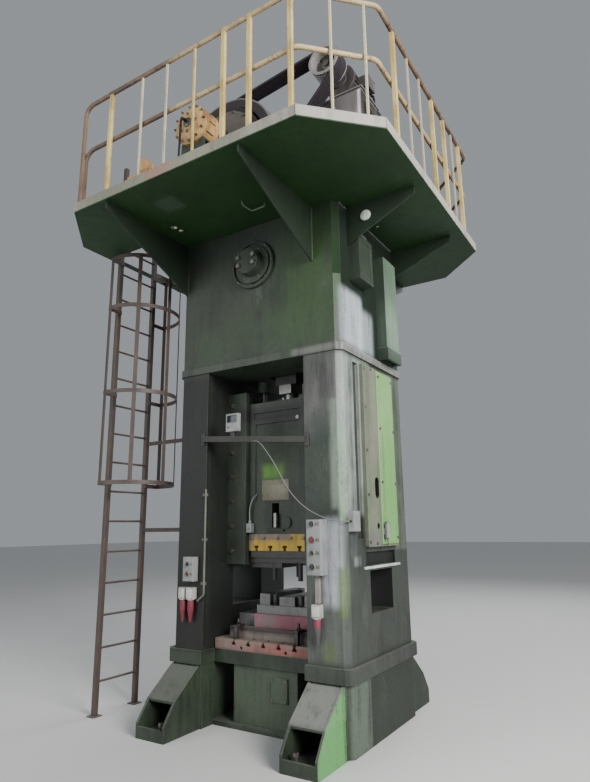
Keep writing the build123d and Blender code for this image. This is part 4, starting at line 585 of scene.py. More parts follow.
# Crown: its front, its lower rim, its right side and the chamfer between
CROWN_TINTS = (
    Tint(rgb(52, 50, 45), (-0.92, -0.70, 3.2), (0.05, -0.60, 4.5), 0.18, 0.7),
    Tint(MOSS, (0.30, -0.70, 3.30), (0.84, -0.60, 4.45), 0.14, 0.85),
    Tint(rgb(42, 64, 33), (-0.75, -0.70, 3.2), (0.85, -0.60, 3.65), 0.14, 0.6),
    # Painted shade: the crown's front darker at the top, under the deck
    Tint(rgb(26, 36, 28), (-FAR, -0.70, 4.15), (0.30, -0.60, 4.60), 0.14, 0.7),
    Tint(rgb(66, 70, 62), (-0.96, -0.72, 3.122), (0.3, -0.60, 3.188), 0.004, 0.6),
    # Painted highlight: the rim lighter at its right end and along the right side
    Tint(rgb(116, 116, 110), (0.42, -0.72, 3.122), (0.96, -0.63, 3.188), 0.03, 0.65),
    Tint(rgb(150, 148, 146), (0.899, -0.63, 3.122), (0.96, 0.7, 3.188), 0.002, 0.65),
    # Painted shade: the crown's right side darkened all over; the painted sheen below lies over its
    # lower front part
    Tint(rgb(8, 26, 14), (0.868, -0.645, 3.20), (0.92, 0.66, 4.60), 0.008, 0.94, False),
    # Painted light on the corner chamfer: a lighter band low down and painted shade above it; their
    # dull values only roughen it
    Tint(rgb(64, 92, 60), (0.860, -0.65, 3.52), (0.905, -0.60, 3.86), 0.02, 0.85, False, 0.2),
    Tint(rgb(14, 42, 12), (0.845, -0.67, 3.82), (0.905, -0.594, 4.7), 0.005, 0.94, False, 0.38),
    # Painted sheen: a pale reflection over the lower front of the crown's right side, cut off where
    # the shadow begins
    Tint(rgb(196, 206, 212), (0.872, -0.60, 3.20), (0.92, -0.20, 3.71), 0.05, 0.95, False),
    Tint(rgb(196, 206, 212), (0.872, -0.30, 3.20), (0.92, 0.02, 3.60), 0.06, 0.85, False),
    # Painted highlight: a pale spot high on the crown's right side
    Tint(PALE_SHEEN, (0.88, -0.16, 4.26), (0.92, -0.02, 4.40), 0.02, 0.8),
)
# Uprights: their upper fronts, the right one's corner and its outer side
UPRIGHT_TINTS = (
    Tint(MAUVE, (0.5, -0.7, 2.45), (1.0, -0.55, 3.1), 0.14, 0.9),
    Tint(rgb(30, 46, 38), (0.60, -0.7, 2.28), (0.80, -0.60, 2.62), 0.08, 0.8),
    # Painted shade: the left upright's front darkened nearly to black
    Tint(rgb(12, 13, 7), (-1.0, -0.72, 0.62), (-0.5, -0.60, 3.1), 0.05, 0.92, False),
    # Painted sheen: the right upright's outer side painted pale
    Tint(PALE_SHEEN, (0.855, -0.66, 1.75), (1.0, -0.1, 3.1), 0.04, 0.8),
    Tint(rgb(112, 150, 104), (0.84, -0.66, 1.7), (0.885, -0.58, 2.5), 0.02, 0.6),
    Tint(rgb(60, 62, 60), (0.86, -0.66, 0.5), (1.0, 0.66, 1.50), 0.05, 0.7),
    Tint(rgb(100, 110, 98), (0.88, 0.33, 1.45), (0.92, 0.66, 3.1), 0.02, 0.6),
    # Painted shade in the slot beside the side cover
    Tint(rgb(46, 43, 42), (0.80, -0.426, 1.55), (0.8985, -0.334, 3.07), 0.002, 0.92, False),
    # Painted shade inside the opening behind the side cover
    Tint(rgb(9, 9, 8), (0.70, -0.17, 1.60), (0.9045, -0.02, 2.12), 0.004, 1.0, False),
    # Painted shade in the recess under the side cover
    Tint(rgb(12, 13, 12), (0.85, -0.303, 1.338), (0.8955, 0.313, 1.452), 0.002, 0.9, False),
    # Painted highlight along the top edge of the right side window
    Tint(rgb(184, 188, 190), (0.895, -0.52, 1.35), (0.905, -0.39, 1.42), 0.02, 0.7),
    Tint(rgb(108, 92, 102), (0.895, -0.47, 1.75), (0.905, -0.42, 2.5), 0.02, 0.5),
    Tint(rgb(128, 132, 140), (0.895, -0.58, 1.42), (0.905, -0.40, 1.72), 0.04, 0.6),
)
# Shaded walls of the side windows and of the opening between the uprights
OPENING_TINTS = (
    Tint(rgb(12, 13, 12), (0.50, -0.233, 0.957), (0.893, 0.233, 1.303), 0.003, 0.9, False),
    Tint(rgb(12, 13, 12), (-0.893, -0.233, 0.957), (-0.50, 0.233, 1.303), 0.003, 0.9, False),
    Tint(rgb(16, 17, 16), (0.45, -0.60, 0.60), (0.70, 0.60, 3.1), 0.04, 0.8, False),
    Tint(rgb(14, 15, 15), (-0.70, -0.60, 0.60), (-0.45, 0.60, 3.1), 0.04, 0.85, False),
)
# Right upright's front, from its foot up
FRONT_TINTS = (
    Tint(rgb(122, 124, 124), (0.5, -0.7, 0.62), (0.86, -0.6, 1.6), 0.12, 0.7),
    Tint(rgb(176, 182, 188), (0.70, -0.7, 1.05), (0.86, -0.6, 1.72), 0.05, 0.8),
    Tint(rgb(38, 46, 40), (0.50, -0.7, 1.72), (0.66, -0.6, 2.32), 0.08, 0.7),
    Tint(rgb(128, 142, 128), (0.78, -0.7, 1.80), (0.86, -0.6, 2.70), 0.03, 0.75),
    Tint(rgb(84, 108, 44), (0.82, -0.67, 0.98), (0.89, -0.58, 1.34), 0.03, 0.85),
    Tint(rgb(84, 104, 40), (0.68, -0.67, 0.64), (0.78, -0.62, 0.80), 0.04, 0.75),
)
# Bed and feet
FOOT_TINTS = (
    Tint(rgb(84, 96, 78), (-0.36, -0.52, 0.02), (0.36, -0.4, 0.5), 0.03, 0.6),
    Tint(rgb(54, 60, 52), (0.5, -0.75, 0.46), (0.95, -0.6, 0.64), 0.03, 0.75),
    # Painted light: the foot's upper slope lighter where it faces up
    Tint(rgb(118, 122, 118), (0.5, -1.1, 0.28), (0.9, -0.66, 0.50), 0.02, 0.8),
    # Painted light: the foot's right side painted as lit mint green
    Tint(LIT_MINT, (0.857, -1.1, 0.0), (0.88, -0.66, 0.5), 0.004, 0.9, False),
    Tint(rgb(92, 104, 92), (0.88, -0.66, 0.0), (0.95, -0.30, 0.5), 0.02, 0.75),
    Tint(rgb(26, 30, 26), (0.88, -0.30, 0.0), (0.95, 0.66, 0.5), 0.02, 0.7),
)

# Every finish, in the order of the parts they dress
FINISHES: tuple[Finish, ...] = (
    Paint(
        "frame_green", GREEN_DARK, GREEN_MID, grime=rgb(15, 18, 15), grime_amount=0.72,
        chip=rgb(112, 118, 106), fade=rgb(92, 100, 90), fade_amount=0.5,
        tints=CROWN_TINTS + UPRIGHT_TINTS + OPENING_TINTS + FRONT_TINTS + FOOT_TINTS,
    ),
    Paint(
        "panel_green", rgb(92, 98, 84), rgb(124, 124, 110), grime=rgb(42, 46, 40),
        grime_amount=0.55, chip=rgb(150, 152, 140), fade=rgb(150, 146, 134), fade_amount=0.45,
        tints=(
            Tint(rgb(96, 124, 84), (0.89, -0.32, 1.60), (1.0, -0.04, 2.2), 0.12, 0.5),
            Tint(rgb(98, 97, 98), (0.89, -0.32, 1.45), (0.94, -0.02, 1.62), 0.05, 0.85),
            Tint(rgb(112, 176, 92), (0.944, -0.10, 1.5), (1.0, 0.34, 3.1), 0.01, 0.9, False),
            Tint(rgb(176, 196, 158), (0.944, -0.10, 2.3), (1.0, 0.34, 3.1), 0.25, 0.6),
            # Painted shade inside the opening in the side cover
            Tint(rgb(12, 12, 10), (0.88, -0.17, 1.60), (0.9325, -0.02, 2.12), 0.001, 1.0, False),
        ),
    ),
    Paint(
        "trunk_green", rgb(74, 96, 78), rgb(94, 118, 96), grime=rgb(46, 56, 46),
        grime_amount=0.45,
        tints=(
            # Painted shade on the trunk's front face
            Tint(rgb(30, 38, 30), (0.8, 0.0, 3.1), (1.1, 0.1335, 4.4), 0.002, 0.85, False),
            Tint(rgb(34, 44, 34), (0.8, 0.0, 3.15), (1.1, 0.6, 3.32), 0.01, 0.75, False),
            # Painted light: the trunk's right face painted pale
            Tint(rgb(160, 190, 168), (0.99, 0.13, 3.32), (1.02, 0.5, 3.8), 0.12, 0.6),
        ),
    ),
    # Frame green darkened as painted shade, for the brackets under the deck
    Paint("under_deck_shade_green", rgb(16, 28, 17), rgb(24, 40, 23), grime=rgb(10, 14, 11),
          grime_amount=0.55, dust_amount=0.1, chip=rgb(84, 100, 78), edge=0.006),
    Paint("bar_dark", rgb(52, 50, 46), rgb(38, 38, 35), grime=rgb(20, 20, 19),
          grime_amount=0.6, rust_amount=0.3, scale=2.0),
    Paint(
        "socket_mixed", rgb(168, 168, 160), rgb(140, 140, 132), grime=rgb(96, 92, 84),
        grime_amount=0.4, scale=4.0,
        tints=(
            Tint(rgb(106, 18, 42), (-0.80, -0.75, 0.80), (-0.60, -0.64, 1.043), 0.002, 0.96, False),
            Tint(rgb(122, 30, 60), (0.60, -0.75, 0.90), (0.70, -0.64, 0.968), 0.002, 0.96, False),
            Tint(rgb(52, 48, 50), (0.60, -0.75, 0.60), (0.70, -0.64, 0.902), 0.002, 0.9, False),
            Tint(rgb(118, 106, 100), (0.60, -0.75, 1.07), (0.70, -0.64, 1.285), 0.01, 0.8),
        ),
    ),
    Paint(
        "slide_green", rgb(38, 44, 37), rgb(58, 66, 54), grime=rgb(18, 20, 18),
        grime_amount=0.7, chip=rgb(112, 114, 106), fade=rgb(96, 100, 92), fade_amount=0.35,
        tints=(
            # Painted shade: a dark band across the slide high up
            Tint(rgb(24, 26, 24), (-FAR, -FAR, 2.66), (FAR, FAR, 2.8), 0.03, 0.7, False),
            Tint(rgb(50, 72, 38), (-0.26, -0.28, 2.1), (0.20, -0.15, 2.55), 0.08, 0.6),
            Tint(rgb(96, 150, 44), (-0.17, -0.28, 2.11), (0.06, -0.15, 2.24), 0.04, 0.85),
        ),
    ),
    Paint(
        "slide_yellow", rgb(188, 156, 44), rgb(160, 128, 40), grime=rgb(56, 50, 36),
        grime_amount=0.6, chip=rgb(96, 92, 84), rust_amount=0.4, rough=0.48, scale=2.0,
        tints=(
            Tint(rgb(112, 98, 98), (-0.5, -0.30, 1.545), (0.12, -0.2, 1.61), 0.02, 0.9),
            Tint(rgb(206, 172, 56), (-0.1, -0.30, 1.44), (0.5, -0.2, 1.53), 0.03, 0.5),
            Tint(rgb(108, 96, 98), (-0.45, -0.30, 1.44), (-0.27, -0.2, 1.61), 0.03, 0.7),
        ),
    ),
    Paint(
        "shoe_grey", rgb(110, 96, 90), rgb(88, 76, 72), grime=rgb(54, 46, 44),
        grime_amount=0.55, rust_amount=0.4, chip=rgb(150, 142, 134), scale=2.0,
        fade=rgb(140, 134, 124), fade_amount=0.5,
        tints=(
            Tint(rgb(40, 34, 34), (-0.5, -0.45, 0.768), (0.5, -0.39, 0.801), 0.006, 0.8, False),
            Tint(rgb(132, 126, 112), (-0.5, -0.45, 0.70), (0.5, -0.39, 0.748), 0.01, 0.6),
        ),
    ),
    Paint(
        "bolster_salmon", rgb(140, 92, 84), rgb(120, 86, 78), grime=rgb(70, 60, 56),
        grime_amount=0.55, chip=rgb(160, 150, 142), rust_amount=0.4, scale=2.0,
        fade=rgb(150, 144, 138), fade_amount=0.6,
        tints=(
            Tint(rgb(118, 112, 104), (-0.6, -0.52, 0.6), (-0.1, -0.4, 0.71), 0.06, 0.7),
            Tint(rgb(120, 112, 102), (-0.6, -0.52, 0.684), (0.6, -0.3, 0.71), 0.004, 0.7),
            Tint(rgb(150, 66, 54), (0.10, -0.52, 0.60), (0.54, -0.4, 0.68), 0.06, 0.7),
            Tint(rgb(74, 60, 56), (-0.54, -0.52, 0.60), (0.54, -0.4, 0.634), 0.012, 0.5),
        ),
    ),
    Paint(
        "die_red", rgb(144, 80, 92), rgb(122, 72, 82), grime=rgb(74, 60, 62),
        grime_amount=0.5, rust_amount=0.4, scale=2.5, fade=rgb(150, 144, 146), fade_amount=0.6,
        tints=(
            Tint(rgb(116, 112, 110), (-0.3, -FAR, 0.79), (0.05, FAR, 0.93), 0.08, 0.75),
        ),
    ),
    Paint("guard_green", rgb(52, 62, 52), rgb(70, 82, 68), grime_amount=0.5),
    Paint("valve_green", rgb(32, 40, 32), rgb(46, 58, 44), grime=rgb(18, 22, 18),
          grime_amount=0.6, chip=rgb(96, 100, 90)),
    Paint(
        "deck_green", rgb(15, 46, 14), rgb(27, 60, 21), grime=rgb(12, 18, 13),
        grime_amount=0.55,
        tints=(
            Tint(rgb(92, 108, 92), (-0.52, -1.50, 4.5), (-0.29, -1.29, 4.525), 0.04, 0.5, False),
            Tint(rgb(84, 100, 90), (-1.75, -1.8, 4.5), (-0.9, -1.0, 4.522), 0.2, 0.4),
        ),
    ),
    Paint(
        "toe_green", rgb(124, 124, 108), rgb(146, 144, 128), grime=rgb(76, 76, 64),
        grime_amount=0.5, rust_amount=0.35, chip=rgb(180, 182, 172),
        tints=(
            Tint(rgb(194, 188, 188), (0.7, -1.9, 4.5), (1.8, 1.7, 4.65), 0.25, 0.75),
            Tint(rgb(166, 112, 104), (-0.33, -1.8, 4.5), (-0.05, -1.70, 4.64), 0.05, 0.7),
            Tint(rgb(92, 100, 74), (-1.1, -1.9, 4.5), (-0.3, -1.6, 4.65), 0.25, 0.75),
            Tint(rgb(160, 140, 138), (-1.9, -1.9, 4.5), (-1.1, 1.7, 4.65), 0.15, 0.6),
        ),
    ),
    Paint(
        "post_cream", rgb(210, 192, 128), rgb(180, 154, 92), grime=rgb(104, 84, 56),
        grime_amount=0.5, rust_amount=0.5, chip=rgb(136, 108, 82), scale=2.0,
        tints=(
            Tint(rgb(196, 194, 184), (-0.46, -1.78, 4.5), (-0.13, -1.70, 5.7), 0.01, 0.7),
            Tint(rgb(196, 194, 184), (1.15, -1.78, 4.5), (1.62, -1.2, 5.7), 0.01, 0.7),
            Tint(rgb(168, 160, 148), (1.60, -0.90, 4.5), (1.70, -0.10, 5.7), 0.01, 0.85, False),
            Tint(rgb(168, 160, 148), (1.60, 0.50, 4.5), (1.70, 0.62, 5.7), 0.01, 0.85, False),
        ),
    ),
    Paint(
        "rail_rust", rgb(118, 96, 76), rgb(88, 72, 58), grime=rgb(52, 42, 36),
        grime_amount=0.55, rust_amount=0.5, chip=rgb(214, 194, 150), scale=2.0,
        tints=(
            # Painted highlight: cream on the front and right rails where light falls
            Tint(rgb(214, 190, 140), (-0.1, -1.85, 5.0), (1.9, -1.20, 5.7), 0.15, 0.85),
            Tint(rgb(206, 180, 126), (1.60, -1.30, 5.0), (1.75, 1.7, 5.3), 0.05, 0.8),
            Tint(rgb(68, 58, 52), (-1.75, -1.80, 4.5), (-1.60, -1.2, 5.7), 0.05, 0.75),
        ),
    ),
    Paint("ladder_dark", rgb(64, 56, 52), rgb(82, 68, 60), grime=rgb(40, 34, 32),
          grime_amount=0.5, rust_amount=0.5, scale=2.0),
    Paint("brake_ochre", rgb(204, 168, 114), rgb(170, 128, 80), grime=rgb(78, 54, 36),
          grime_amount=0.7, rust_amount=0.55, chip=rgb(176, 160, 126), scale=2.0),
    Paint("motor_grey", rgb(78, 74, 72), rgb(60, 57, 55), grime=rgb(36, 33, 32),
          grime_amount=0.55, scale=2.0),
    Paint("stand_dark", rgb(50, 44, 40), rgb(38, 36, 33), grime=rgb(20, 18, 17),
          grime_amount=0.6, scale=2.0),
    Paint("box_grey", rgb(136, 140, 138), rgb(118, 122, 120), grime=rgb(80, 82, 78),
          grime_amount=0.35, rust_amount=0.15, chip=rgb(176, 178, 172), scale=3.0),
    Paint(
        "cabinet_grey", rgb(124, 119, 119), rgb(106, 101, 101), grime=rgb(70, 66, 65),
        grime_amount=0.4, rust_amount=0.25,
        tints=(
            # Painted shade on the cabinet's right side
            Tint(rgb(44, 38, 38), (1.3255, -0.962, 4.53), (1.345, -0.62, 5.255), 0.002, 0.92,
                 False),
            # Painted highlight along the front's right edge
            Tint(rgb(196, 190, 190), (1.3, -0.99, 4.53), (1.3255, -0.955, 5.26), 0.002, 0.8, False),
        ),
    ),
    Paint("cap_white", rgb(206, 214, 202), rgb(176, 188, 172), grime=rgb(120, 130, 116),
          grime_amount=0.4, scale=6.0),
    Paint("socket_white", rgb(196, 196, 190), rgb(176, 176, 168), grime=rgb(110, 106, 98),
          grime_amount=0.4, scale=6.0),
    Metal("turned_steel", rgb(128, 126, 122)),
    Metal("bolt_steel", rgb(116, 114, 108), rough=0.45, rust_amount=0.4),
    Metal("cast_dark", rgb(72, 72, 70), metallic=0.55, rough=0.55, rust_amount=0.3),
    Metal("tool_steel", rgb(112, 112, 110), metallic=0.7, rough=0.42, oil=0.5, rust_amount=0.3),
    Metal("bronze", rgb(150, 116, 66), rough=0.35),
    Metal("plate_metal", rgb(124, 120, 104), rgb(62, 74, 46), metallic=0.35, rough=0.5,
          oil=0.5, rust_amount=0.35, edge=0.001),
    Metal(
        "pulley_grey", rgb(150, 146, 144), metallic=0.35, rough=0.5, rust_amount=0.3,
        rings=(
            Ring(rgb(56, 48, 46), MOTOR_X, MOTOR_Z, -1.0, 0.104),
            Ring(rgb(110, 102, 98), MOTOR_X, MOTOR_Z, -1.0, 0.034),
        ),
    ),
    Metal(
        "clutch_grey", rgb(112, 106, 100), rgb(58, 52, 50), metallic=0.45, rough=0.5,
        rust_amount=0.35,
        rings=(
            Ring(rgb(42, 35, 38), FAST_X, FAST_Z, 0.405, 1.0),
        ),
    ),
    Metal(
        "wheel_cast", rgb(64, 60, 62), metallic=0.5, rough=0.55, rust_amount=0.3,
        rings=(
            Ring(rgb(142, 140, 136), FAST_X, FAST_Z, 0.553, 1.0),
        ),
    ),
    Metal("clamp_steel", rgb(70, 68, 64), metallic=0.6, rough=0.5, rust_amount=0.4),
    Paint("pipe_grey", rgb(88, 90, 84), rgb(108, 108, 100), grime=rgb(44, 44, 40),
          grime_amount=0.5, scale=4.0),
    Plastic("belt_rubber", rgb(40, 34, 42), rgb(78, 72, 80), 0.7, 0.45),
    Plastic("wire_grey", rgb(112, 112, 110), rgb(150, 150, 146), 0.6, 0.3),
    Plastic("black_plastic", rgb(26, 26, 27), rgb(88, 88, 86)),
    Plastic("red_plastic", rgb(96, 34, 34), rgb(84, 58, 56), 0.5, 0.5),
    Plastic("glass_dark", rgb(24, 30, 34), rgb(70, 76, 80), 0.12, 0.15),
)


class Palette:
    """Builds each finish once and hands it out by name."""

    def __init__(self) -> None:
        """Builds all the finishes."""
        self.made = {finish.name: finish.build() for finish in FINISHES}

    def __getitem__(self, name: str) -> bpy.types.Material:
        """Returns the material of that name."""
        return self.made[name]


# ---------------------------------------------------------------- forms


def turn_to(direction: Vector) -> Matrix:
    """The rotation that turns +Z to a direction, as a 4 by 4 matrix."""
    return direction.to_track_quat("Z", "Y").to_matrix().to_4x4()


def new_curve(name: str, kind: str, points: Sequence[Point], radius: float) -> bpy.types.Curve:
    """Makes a round curve with closed ends through some points.

    Args:
        name: The curve's name.
        kind: Blender's type of spline, POLY or NURBS.
        points: The spline's points.
        radius: Radius of the section.

    Returns:
        The curve.
    """
    curve = bpy.data.curves.new(name, "CURVE")
    curve.dimensions = "3D"
    curve.bevel_depth = radius
    curve.use_fill_caps = True
    spline = curve.splines.new(kind)
    spline.points.add(len(points) - 1)
    for point, place in zip(spline.points, points):
        point.co = (*place, 1.0)
    return curve


class Shape:
    """Gathers the forms of one piece in a bmesh and makes them an object."""

    def __init__(self) -> None:
        """Starts empty."""
        self.bm = bmesh.new()

    def _bevel(self, verts: Iterable[bmesh.types.BMVert], width: float, sharp: float = 0.5) -> None:
        """Rounds the sharp edges among some vertices.

        Args:
            verts: Vertices of the form.
            width: Width of the bevel; 0 leaves the form as it is.
            sharp: Smallest angle in radians that is rounded.
        """
        if width <= 0:
            return
        chosen = set(verts)
        edges = [e for e in self.bm.edges if chosen.issuperset(e.verts)
                 and (len(e.link_faces) < 2 or e.calc_face_angle(0.0) > sharp)]
        bmesh.ops.bevel(self.bm, geom=edges, offset=width, offset_type="OFFSET",
                        segments=BEVEL_STEPS, profile=0.5, affect="EDGES", material=-1,
                        clamp_overlap=True)

    def box(self, low: Point, high: Point, bevel: float = 0.002) -> "Shape":
        """Adds a box with rounded edges.

        Args:
            low: Lowest corner.
            high: Highest corner.
            bevel: Width of the rounding.

        Returns:
            The shape itself.
        """
        lo, hi = Vector(low), Vector(high)
        size = hi - lo
        matrix = Matrix.Translation((lo + hi) / 2) @ Matrix.Diagonal((*size, 1.0))
        made = bmesh.ops.create_cube(self.bm, size=1.0, matrix=matrix)
        self._bevel(made["verts"], min(bevel, min(size) * 0.4))
        return self

    def bar(self, start: Point, end: Point, radius: float, far_radius: Optional[float] = None,
            sides: int = 24, bevel: float = 0.0) -> "Shape":
        """Adds a round or many-sided bar between two points.

        Args:
            start: Middle of one end.
            end: Middle of the other end.
            radius: Radius at the start.
            far_radius: Radius at the end, if it differs.
            sides: Number of sides; 6 makes a hexagon.
            bevel: Width of the rounding at the ends.

        Returns:
            The shape itself.
        """
        a, b = Vector(start), Vector(end)
        along = b - a
        made = bmesh.ops.create_cone(
            self.bm, cap_ends=True, cap_tris=False, segments=sides, radius1=radius,
            radius2=radius if far_radius is None else far_radius, depth=along.length,
            matrix=Matrix.Translation((a + b) / 2) @ turn_to(along.normalized()))
        self._bevel(made["verts"], bevel, 0.6)
        return self

    def stub(self, place: Point, facing: Facing, length: float, radius: float,
             far_radius: Optional[float] = None, sides: int = 24, bevel: float = 0.0) -> "Shape":
        """Adds a short bar that stands on a face.

        Args:
            place: Middle of its foot.
            facing: Where it points.
            length: Its length.
            radius: Radius at its foot.
            far_radius: Radius at its end, if it differs.
            sides: Number of sides; 6 makes a hexagon.
            bevel: Width of the rounding at the ends.

        Returns:
            The shape itself.
        """
        foot = Vector(place)
        return self.bar(foot, foot + facing.vector * length, radius, far_radius, sides, bevel)

    def hexagon(self, place: Point, facing: Facing, bolt: Bolt) -> "Shape":
        """Adds a hexagon head with a chamfered top, over its washer if it has one.

        Args:
            place: Middle of its seat.
            facing: Where the head points.
            bolt: Sizes of the head.

        Returns:
            The shape itself.
        """
        base, out = Vector(place), facing.vector
        rise = bolt.height * bolt.washer_rise if bolt.washer else 0.0
        if bolt.washer:
            reach, bevel = bolt.across * bolt.washer_reach, rise * bolt.washer_bevel
            self.bar(base, base + out * rise, reach, sides=20, bevel=bevel)
        top = base + out * bolt.height
        waist = top - out * bolt.height * bolt.chamfer_rise
        corner = bolt.across * bolt.corner_reach
        self.bar(base + out * rise, waist, corner, sides=6)
        self.bar(waist, top, corner, bolt.across * bolt.top_reach, sides=6)
        return self

    def bolts(self, places: Iterable[Point], facing: Facing, bolt: Bolt) -> "Shape":
        """Adds the same head at several places.

        Args:
            places: Middles of the seats.
            facing: Where the heads point.
            bolt: Sizes of the heads.

        Returns:
            The shape itself.
        """
        for place in places:
            self.hexagon(place, facing, bolt)
        return self

    def bolt_circle(self, centre: Point, radius: float, count: int, bolt: Bolt) -> "Shape":
        """Adds a circle of heads that point to the front.

        Args:
            centre: Middle of the circle, in the plane of the seats.
            radius: Its radius.
            count: Number of heads.
            bolt: Sizes of the heads.

        Returns:
            The shape itself.
        """
        before = set(self.bm.verts)
        x, y, z = centre
        self.hexagon((x + radius, y, z), Facing.FRONT, bolt)
        faces = [f for f in self.bm.faces if f.verts[0] not in before]
        for i in range(1, count):
            turn = Matrix.Rotation(math.tau * i / count, 3, Facing.FRONT.vector)
            bmesh.ops.rotate(self.bm, verts=self._copied(faces), cent=Vector(centre), matrix=turn)
        return self

    def lathe(self, centre: Point, facing: Facing, profile: Sequence[Pair],
              steps: int = 40, closed: bool = True) -> "Shape":
        """Spins a profile about an axis.

        Args:
            centre: Point on the axis from which heights are counted.
            facing: Where heights grow.
            profile: Points of radius and height along the axis.
            steps: Steps of the full turn.
            closed: Whether the profile's ends are joined.

        Returns:
            The shape itself.
        """
        turn = Matrix.Translation(Vector(centre)) @ turn_to(facing.vector)
        verts = [self.bm.verts.new(turn @ Vector((r, 0.0, h))) for r, h in profile]
        pairs = list(zip(verts, verts[1:])) + ([(verts[-1], verts[0])] if closed else [])
        edges = [self.bm.edges.new(pair) for pair in pairs]
        bmesh.ops.spin(self.bm, geom=verts + edges, cent=Vector(centre), axis=facing.vector,
                       dvec=(0, 0, 0), angle=math.tau, steps=steps, use_merge=True,
                       use_duplicate=False)
        return self

    def ring(self, centre: Point, facing: Facing, radius: float, wire: float, steps: int = 32,
             sides: int = 10) -> "Shape":
        """Adds a torus.

        Args:
            centre: Its middle.
            facing: Its axis.
            radius: Radius of its centre line.
            wire: Radius of its section.
            steps: Steps round the ring.
            sides: Sides of the section.

        Returns:
            The shape itself.
        """
        angles = [math.tau * i / sides for i in range(sides)]
        section = [(radius + wire * math.cos(a), wire * math.sin(a)) for a in angles]
        return self.lathe(centre, facing, section, steps)

    def eye(self, place: Point, shank: float, thick: float, rise: float, radius: float) -> "Shape":
        """Adds a lifting eye: a round shank with an upright ring on it.

        Args:
            place: Middle of its foot.
            shank: Length of the shank.
            thick: Radius of the shank.
            rise: Height of the ring's middle over the foot.
            radius: Radius of the ring's centre line.

        Returns:
            The shape itself.
        """
        self.stub(place, Facing.UP, shank, thick, sides=20)
        return self.ring(Vector(place) + Vector((0, 0, rise)), Facing.RIGHT, radius, 0.006)

    def pipe(self, points: Sequence[Point], radius: float, sides: int = 10,
             bend: float = 0.03) -> "Shape":
        """Adds a bent pipe through some points.

        Args:
            points: Corners of its centre line.
            radius: Its radius.
            sides: Sides of its section.
            bend: Length cut off each side of a corner.

        Returns:
            The shape itself.
        """
        track: list[Vector] = [Vector(points[0])]
        for before, here, after in zip(points, points[1:], points[2:]):
            a, b, c = Vector(before), Vector(here), Vector(after)
            start = b + (a - b).normalized() * min(bend, (a - b).length * 0.45)
            end = b + (c - b).normalized() * min(bend, (c - b).length * 0.45)
            for i in range(CORNER_STEPS + 1):
                t = i / CORNER_STEPS
                track.append(start * (1 - t) ** 2 + b * (2 * t * (1 - t)) + end * t**2)
        track.append(Vector(points[-1]))
        curve = new_curve("pipe", "POLY", track, radius)
        curve.bevel_resolution = max(1, sides // 4)
        holder = bpy.data.objects.new("pipe", curve)
        mesh = bpy.data.meshes.new_from_object(holder)
        self.bm.from_mesh(mesh)
        bpy.data.objects.remove(holder)
        bpy.data.curves.remove(curve)
        bpy.data.meshes.remove(mesh)
        return self

    def _copied(self, faces: Iterable[bmesh.types.BMFace]) -> list[bmesh.types.BMVert]:
        """Copies some faces and returns the vertices of the copy."""
        copy = bmesh.ops.duplicate(self.bm, geom=list(faces))
        return [v for v in copy["geom"] if isinstance(v, bmesh.types.BMVert)]

    def mirrored(self, mirror: Mirror) -> "Shape":
        """Adds the mirror image of all that the shape holds."""
        bmesh.ops.scale(self.bm, vec=Vector(mirror.value), verts=self._copied(self.bm.faces))
        return self

    def done(self, name: str, material: bpy.types.Material,
             body: str = "frame") -> Piece:
        """Turns the forms into an object that rides on a body.

        Args:
            name: The object's name.
            material: Its material.
            body: The body it rides on.

        Returns:
            The object.
        """
        bmesh.ops.remove_doubles(self.bm, verts=self.bm.verts, dist=DOUBLE_GAP)
        bmesh.ops.recalc_face_normals(self.bm, faces=self.bm.faces)
        mesh = bpy.data.meshes.new(name)
        self.bm.to_mesh(mesh)
        self.bm.free()
        mesh.polygons.foreach_set("use_smooth", [True] * len(mesh.polygons))
        mesh.set_sharp_from_angle(angle=math.radians(PIECE_SMOOTH))
        mesh.materials.append(material)
        piece = bpy.data.objects.new(name, mesh)
        bpy.context.scene.collection.objects.link(piece)
        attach(piece, body)
        return piece


def dress(node: str, material: bpy.types.Material, smooth: bool) -> None:
    """Gives a solid's node its finish.

    Args:
        node: The node's name.
        material: Its material.
        smooth: Whether curved walls are shaded smooth.
    """
    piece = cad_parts[node]
    piece.data.materials.clear()
    piece.data.materials.append(material)
    if smooth:
        piece.data.polygons.foreach_set("use_smooth", [True] * len(piece.data.polygons))
        weld = piece.modifiers.new("weld", "WELD")
        weld.merge_threshold = WELD_GAP
        split = piece.modifiers.new("split", "EDGE_SPLIT")
        split.use_edge_angle = True
        split.split_angle = math.radians(NODE_SMOOTH)


# ---------------------------------------------------------------- sub-assemblies


Steps = tuple[Callable[[], None], ...]


@dataclass
class Assembly:
    """A sub-assembly: the nodes that it dresses and the pieces that it adds."""

    palette: Palette
    made: list[Piece] = field(default_factory=list, init=False)
    smooth_nodes: ClassVar[dict[str, tuple[str, ...]]] = {}
    flat_nodes: ClassVar[dict[str, tuple[str, ...]]] = {}

    def build(self) -> list[Piece]:
        """Dresses the nodes and adds the pieces.

        Returns:
            The pieces it adds.
        """
        for table, smooth in ((self.smooth_nodes, True), (self.flat_nodes, False)):
            for finish, nodes in table.items():
                for node in nodes:
                    dress(node, self.palette[finish], smooth)
        for step in self.steps():
            step()
        return self.made

    def add(self, shape: Shape, name: str, finish: str, slot: str, body: str = "frame") -> None:
        """Ends a shape as a piece with its finish and its body, and keeps it."""
        self.made.append(shape.done(name, self.palette[finish], body))

    def steps(self) -> Steps:
        """The methods that add its pieces, in order."""
        return ()


